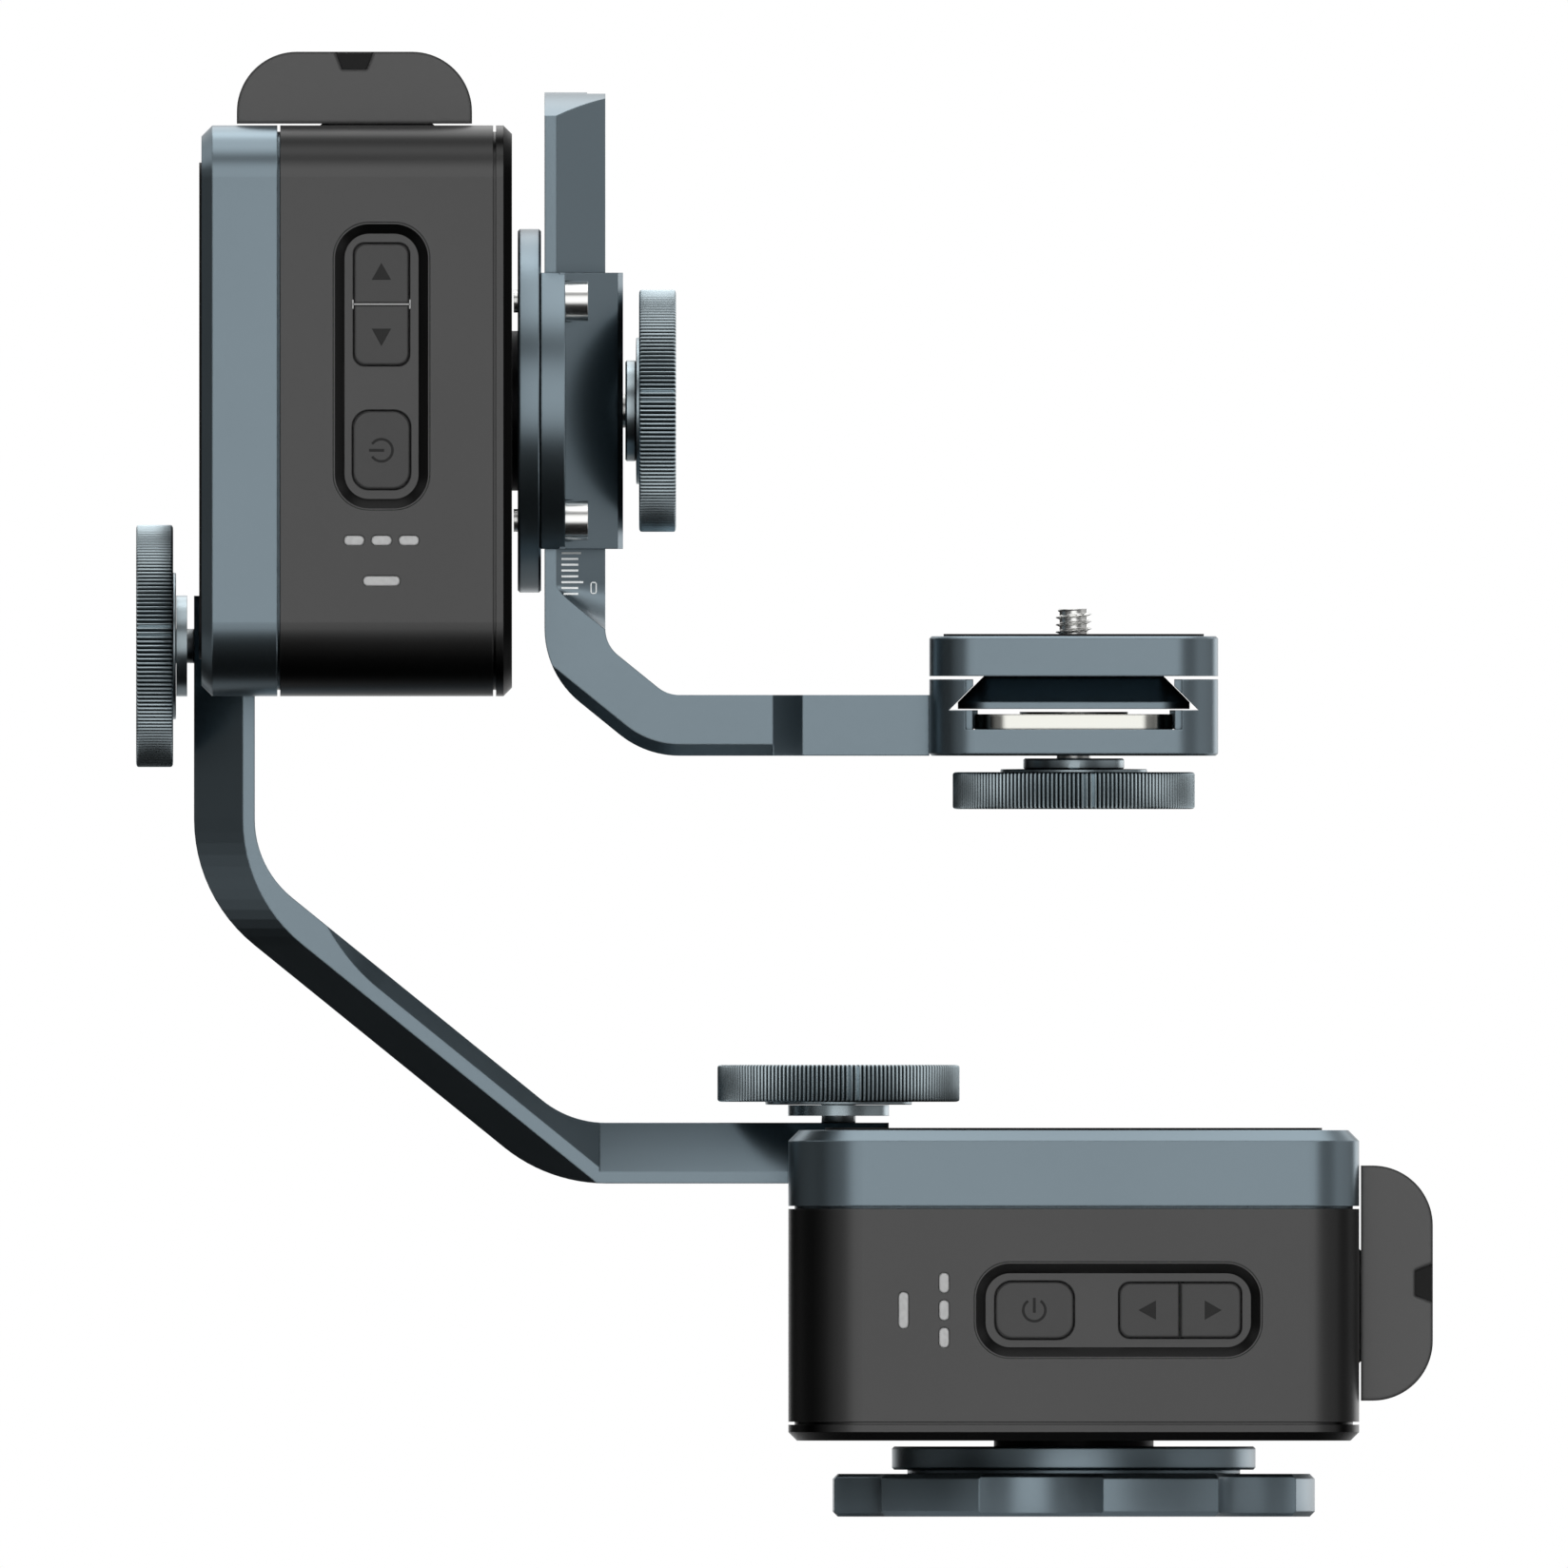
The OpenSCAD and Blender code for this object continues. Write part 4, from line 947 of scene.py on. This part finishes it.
@dataclass
class MotorUnit:
    """One motor unit: its solids and the marks on its keys, drawn in x and z on the front."""

    prefix: str
    place: Matrix
    keys: tuple[str, str]
    base: str = "pan_body"
    divided: bool = False
    proud: float = 0.03
    sunk: float = 0.05
    mark_z: float = 36.17
    power_x: float = -6.9
    power_r: float = 1.94
    power_gap: float = 34.0
    power_steps: int = 40
    power_line: float = 0.46
    bar_ends: Flat = (-0.46, 2.16)
    bar_line: float = 0.5
    arrow_tips: Flat = (11.33, 25.93)
    arrow_feet: Flat = (14.41, 22.95)
    arrow_half: float = 1.7
    divider_x: float = 18.68
    divider_half: float = 5.0
    divider_tick: float = 0.8
    divider_line: float = 0.26
    inner: tuple[str, ...] = (
        "output_shaft", "output_gear", "bearings", "motor", "drive_pinion", "circuit_board")
    outer: tuple[str, ...] = (
        "output_disc", "base_cover", "housing", "cap", "cap_plate", "cover_screws", "button_bezel",
        "power_button", "indicator_lights", "battery_pack", "battery_latch")

    def dress(self, dresser: Dresser) -> None:
        """Finish the unit's solids."""
        for part in self.inner + self.outer + self.keys:
            dresser.dress(f"{self.prefix}_{part}")

    def mark(self, name: str, shapes: Sequence[Sequence[Flat]], body: str,
             finish: Finish = MARK_GREY) -> bpy.types.Object:
        """Print a mark on a key.

        Args:
            name: Name of the mark.
            shapes: Outlines that it is made of.
            body: Body of the key.
            finish: Its finish.

        Returns:
            The piece.
        """
        front = box_mm(f"{self.prefix}_power_button")[0].y
        skin = joined([slab(s, front - self.proud, front + self.sunk) for s in shapes])
        piece = mesh_piece(f"{self.prefix}_{name}", skin, self.place)
        piece.data.materials.append(finish.material())
        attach(piece, body)
        return piece

    def power_sign(self) -> bpy.types.Object:
        """Print the open ring and the bar of the power sign.

        Returns:
            The piece.
        """
        x, z, r = self.power_x, self.mark_z, self.power_r
        step = (360 - 2 * self.power_gap) / self.power_steps
        turns = [math.radians(self.power_gap + step * i) for i in range(self.power_steps + 1)]
        ring = [(x + r * math.sin(t), z + r * math.cos(t)) for t in turns]
        bar = [(x, z + end) for end in self.bar_ends]
        shapes = [stroke(ring, self.power_line), stroke(bar, self.bar_line)]
        return self.mark("power_sign", shapes, f"{self.prefix}_power_button")

    def divider(self) -> bpy.types.Object:
        """Print the line between the two arrow keys.

        Returns:
            The piece.
        """
        x, z = self.divider_x, self.mark_z
        ends = (z - self.divider_half, z + self.divider_half)
        lines = [[(x, end) for end in ends]]
        if self.divided:
            lines += [[(x - self.divider_tick, end), (x + self.divider_tick, end)] for end in ends]
        return self.mark("key_divider", [stroke(line, self.divider_line) for line in lines], self.base,
                         DIVIDER if self.divided else BLACK_CASE)

    def build(self) -> list[bpy.types.Object]:
        """Print the power sign, the two arrows and the line between their keys.

        Returns:
            The pieces.
        """
        made = [self.power_sign()]
        z = self.mark_z
        for key, tip, foot in zip(self.keys, self.arrow_tips, self.arrow_feet):
            half = math.copysign(self.arrow_half, foot - tip)
            arrow = [(tip, z), (foot, z + half), (foot, z - half)]
            made.append(self.mark(f"{key}_arrow", [arrow], f"{self.prefix}_{key}"))
        made.append(self.divider())
        return made


# Middle lines of the numbers, in millimetres about the middle of a digit.
DIGITS: dict[str, tuple[Flat, ...]] = {
    "0": ((-0.3, -0.95), (0.3, -0.95), (0.45, -0.75), (0.45, 0.75), (0.3, 0.95), (-0.3, 0.95),
          (-0.45, 0.75), (-0.45, -0.75), (-0.3, -0.95)),
    "1": ((-0.3, 0.55), (0.1, 0.95), (0.1, -0.95)),
    "2": ((-0.45, 0.6), (-0.2, 0.95), (0.25, 0.95), (0.45, 0.6), (0.4, 0.2), (-0.45, -0.95), (0.45, -0.95)),
    "3": ((-0.45, 0.95), (0.45, 0.95), (0.0, 0.2), (0.4, 0.0), (0.45, -0.6), (0.2, -0.95), (-0.45, -0.8)),
}


@dataclass
class RailScale:
    """White millimetre scale on the slope of the camera rail; half is half the rail's depth."""

    half: float
    zero: float = 163.68
    pitch: float = 1.02
    first: int = -2
    last: int = 30
    start_x: float = -89.75
    first_start_x: float = -89.35
    end_x: tuple[tuple[int, float], ...] = ((10, -85.9), (5, -86.3), (1, -86.8))
    line: float = 0.36
    number_every: int = 10
    number_x: float = -84.1
    number_drop: float = 1.0
    digit_pitch: float = 1.25
    digit_line: float = 0.2
    proud: float = 0.04
    sunk: float = 0.05
    steps: int = 6
    face_x: float = -82.05
    cut: float = 8.55
    tip: float = 2.0
    slope_end: float = 163.3
    squash: float = 0.76

    def depth(self, x: float, z: float) -> float:
        """Give the depth of the slope at a point.

        Args:
            x: Place across the rail.
            z: Height.

        Returns:
            The depth in y of the front slope.
        """
        r = self.tip + self.cut - (self.face_x - x)
        below = max(0.0, (self.slope_end - z) / self.squash)
        return -self.half - self.tip + math.sqrt(max(0.0, r * r - below * below))

    def patch(self, a: Flat, b: Flat, width: float) -> Skin:
        """Lay one short line on the slope.

        Args:
            a: First end in x and z.
            b: Second end.
            width: Width of the line.

        Returns:
            Points and faces.
        """
        dx, dz = sideways(a, b, width)
        rings = []
        for i in range(self.steps + 1):
            x, z = (p + (q - p) * i / self.steps for p, q in zip(a, b))
            corners = ((x + dx, z + dz), (x - dx, z - dz))
            rings.append([(u, self.depth(u, v) - self.proud, v) for u, v in corners]
                         + [(u, self.depth(u, v) + self.sunk, v) for u, v in corners[::-1]])
        return lathe(rings)

    def number(self, mark: int) -> list[Skin]:
        """Draw the number beside a line.

        Args:
            mark: Number of the line, counted from zero.

        Returns:
            Points and faces of each stroke.
        """
        word = str(mark)
        z = self.zero + self.pitch * mark - self.number_drop
        parts = []
        for n, digit in enumerate(word):
            x = self.number_x + self.digit_pitch * (n - (len(word) - 1) / 2)
            path = [(x + dx, z + dz) for dx, dz in DIGITS[digit]]
            parts += [self.patch(a, b, self.digit_line) for a, b in zip(path, path[1:])]
        return parts

    def build(self) -> bpy.types.Object:
        """Print the lines and numbers.

        Returns:
            The piece.
        """
        parts = []
        for mark in range(self.first, self.last + 1):
            z = self.zero + self.pitch * mark
            start = self.first_start_x if mark == self.first else self.start_x
            end = next(x for every, x in self.end_x if mark % every == 0)
            parts.append(self.patch((start, z), (end, z), self.line))
        for mark in range(0, self.last + 1, self.number_every):
            parts += self.number(mark)
        piece = mesh_piece("rail_scale", joined(parts), PAN)
        piece.data.materials.append(SCALE_WHITE.material())
        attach(piece, "camera_arm")
        return piece


class Lamp(Enum):
    """Studio lamps: place and size in metres, power in watts."""

    KEY = ((0.25, -1.9, 0.9), 1.0, 26.0)
    TOP = ((0.2, -0.3, 1.6), 1.2, 6.0)


class Panel(Enum):
    """Panels of light that the metal mirrors: direction, where they start and are full, strength."""

    FRONT = ((0.02, -0.985, 0.17), 0.86, 0.985, 1.15)
    FRONT_RIGHT = ((0.64, -0.77, 0.05), 0.7, 0.98, 0.2)
    FRONT_LEFT = ((-0.5, -0.86, 0.05), 0.8, 0.98, 0.16)
    FRONT_TOP = ((0, -0.6, 0.8), 0.8, 0.97, 0.22)
    TOP = ((0, -0.1, 0.995), 0.75, 0.97, 1.45)
    BACK_TOP = ((0, 0.62, 0.78), 0.8, 0.97, 2.0)
    RIGHT = ((1, 0, 0.05), 0.8, 0.98, 0.45)
    BACK_RIGHT = ((0.6, 0.8, 0), 0.93, 0.99, 1.6)
    LEFT = ((-1, 0.1, 0.3), 0.85, 0.98, 0.08)
    BACK_LOW = ((0, 0.62, -0.78), 0.85, 0.97, 0.3)
    LEFT_LOW = ((-0.9, 0.05, -0.43), 0.93, 0.995, 0.26)


PHOTO_PX = 1648
PX_PER_MM = 6


@dataclass
class Studio:
    """Camera, floor, lamps and the pale room.

    The belt is a band of light round the room, above and below eye level, with two dark spots in it.
    """

    scale: float = PHOTO_PX / PX_PER_MM * MM
    middle: Flat = (-50.75, 128.333)
    away: float = 1.2
    aim: Point = (-0.05, 0.0, 0.12)
    glow: float = 0.008
    belt_low: Flat = (0.16, 0.34)
    belt_high: Flat = (0.5, 0.68)
    belt_aside: Flat = (0.2, 0.45)
    belt_power: float = 0.85
    dark_ways: tuple[Point, ...] = ((-0.94, 0, -0.34), (-0.57, 0.43, -0.7))
    dark_spot: Flat = (0.8, 0.95)
    back_way: Point = (0, 1, 0)
    back_spot: Flat = (0.85, 0.98)
    floor_r: float = 95.0
    floor_z: float = -0.4
    floor_points: int = 120
    floor_tones: tuple[Point, Point] = ((236, 237, 238), (243, 243, 243))
    floor_spots: float = 180.0
    floor_fade: Flat = (0.5, 0.97)

    def camera(self) -> bpy.types.Object:
        """Set up the straight-on camera.

        Returns:
            The camera.
        """
        data = bpy.data.cameras.new("camera")
        data.type = "ORTHO"
        data.ortho_scale = self.scale
        view = bpy.data.objects.new("camera", data)
        view.location = (self.middle[0] * MM, -self.away, self.middle[1] * MM)
        view.rotation_euler = (math.pi / 2, 0, 0)
        bpy.context.scene.collection.objects.link(view)
        bpy.context.scene.camera = view
        return view

    def lamps(self) -> None:
        """Hang the soft lamps."""
        for kind in Lamp:
            at, size, power = kind.value
            data = bpy.data.lights.new(kind.name.lower(), "AREA")
            data.shape = "DISK"
            data.size = size
            data.energy = power
            lamp = bpy.data.objects.new(kind.name.lower(), data)
            lamp.location = at
            lamp.rotation_euler = (Vector(self.aim) - Vector(at)).to_track_quat("-Z", "Y").to_euler()
            lamp.visible_glossy = False
            bpy.context.scene.collection.objects.link(lamp)

    def room(self) -> None:
        """Make the pale room: white to the eye, panels of light for the metal."""
        world = bpy.data.worlds.new("studio")
        bpy.context.scene.world = world
        tree = Tree(world)
        look = tree.value("ShaderNodeTexCoord", out="Generated")
        glow: Value = self.glow
        for panel in Panel:
            way, start, full, power = panel.value
            glow = glow + tree.dot(look, way).smooth(start, full) * power
        glow = glow + self.belt(tree, look) * self.belt_power
        path = tree.node("ShaderNodeLightPath")
        seen = Sock(tree, path.outputs["Is Camera Ray"])
        through = Sock(tree, path.outputs["Is Transmission Ray"])
        behind = tree.dot(look, self.back_way).smooth(*self.back_spot)
        mirrored = Sock(tree, path.outputs["Is Glossy Ray"]) * behind
        white = seen.most(through).most(mirrored)
        strength = white + (1 - white) * glow
        tree.end(tree.node("ShaderNodeBackground", None, {"Color": (1, 1, 1, 1), "Strength": strength}),
                 "ShaderNodeOutputWorld")

    def belt(self, tree: Tree, look: Sock) -> Sock:
        """Give the share of the belt of light in a direction.

        Args:
            tree: Tree of the world.
            look: The direction.

        Returns:
            The share from 0 to 1.
        """
        split = tree.node("ShaderNodeSeparateXYZ", None, {0: look})
        across, rise = (abs(Sock(tree, split.outputs[axis])) for axis in ("X", "Z"))
        band = rise.smooth(*self.belt_low) * (1 - rise.smooth(*self.belt_high))
        share = band * across.smooth(*self.belt_aside)
        for way in self.dark_ways:
            share = share * (1 - tree.dot(look, way).smooth(*self.dark_spot))
        return share

    def floor(self) -> bpy.types.Object:
        """Lay the pale floor.

        Returns:
            The floor.
        """
        turns = [2 * math.pi * i / self.floor_points for i in range(self.floor_points)]
        rim = [(self.floor_r * math.cos(t), self.floor_r * math.sin(t), self.floor_z) for t in turns]
        piece = mesh_piece("floor", (rim, [list(range(len(rim)))]), PAN)
        made = bpy.data.materials.new("pale_floor")
        tree = Tree(made)
        first, second = (linear(tone) for tone in self.floor_tones)
        tone = tree.mix(first, second, tree.noise(self.floor_spots))
        away = tree.value("ShaderNodeVectorMath", {"operation": "LENGTH"}, {0: tree.place()}, "Value")
        start, end = (share * self.floor_r * MM for share in self.floor_fade)
        tree.end(tree.node("ShaderNodeBsdfPrincipled", None, {
            "Base Color": tone, "Roughness": 0.7, "Alpha": 1 - away.smooth(start, end)}))
        piece.data.materials.append(made)
        return piece

    def build(self) -> None:
        """Set the whole studio up."""
        self.camera()
        self.room()
        self.lamps()
        self.floor()
        bpy.context.scene.view_settings.view_transform = "Standard"


def main() -> None:
    """Load the frame, dress it, build the pieces and set up the studio."""
    logging.basicConfig(level=logging.INFO, format="%(message)s")
    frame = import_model()
    dresser = Dresser(frame)
    tilt = tilt_place()
    units = [MotorUnit("pan", PAN, ("left_key", "right_key")),
             MotorUnit("tilt", tilt, ("down_key", "up_key"), divided=True)]
    made: list[bpy.types.Object] = []
    for unit in units:
        unit.dress(dresser)
        made += unit.build()
    made += Fixings(tilt).build()
    made.append(RailScale(box_mm("camera_arm")[1].y).build())
    for node in frame["nodes"]:
        if node not in dresser.done and not node.endswith(REBUILT):
            dresser.dress(node)
    for piece in made:
        LOG.info("made %s with %d faces", piece.name, len(piece.data.polygons))
    for node in dresser.done:
        LOG.info("dressed %s", node)
    Studio().build()


if __name__ == "__main__":
    main()
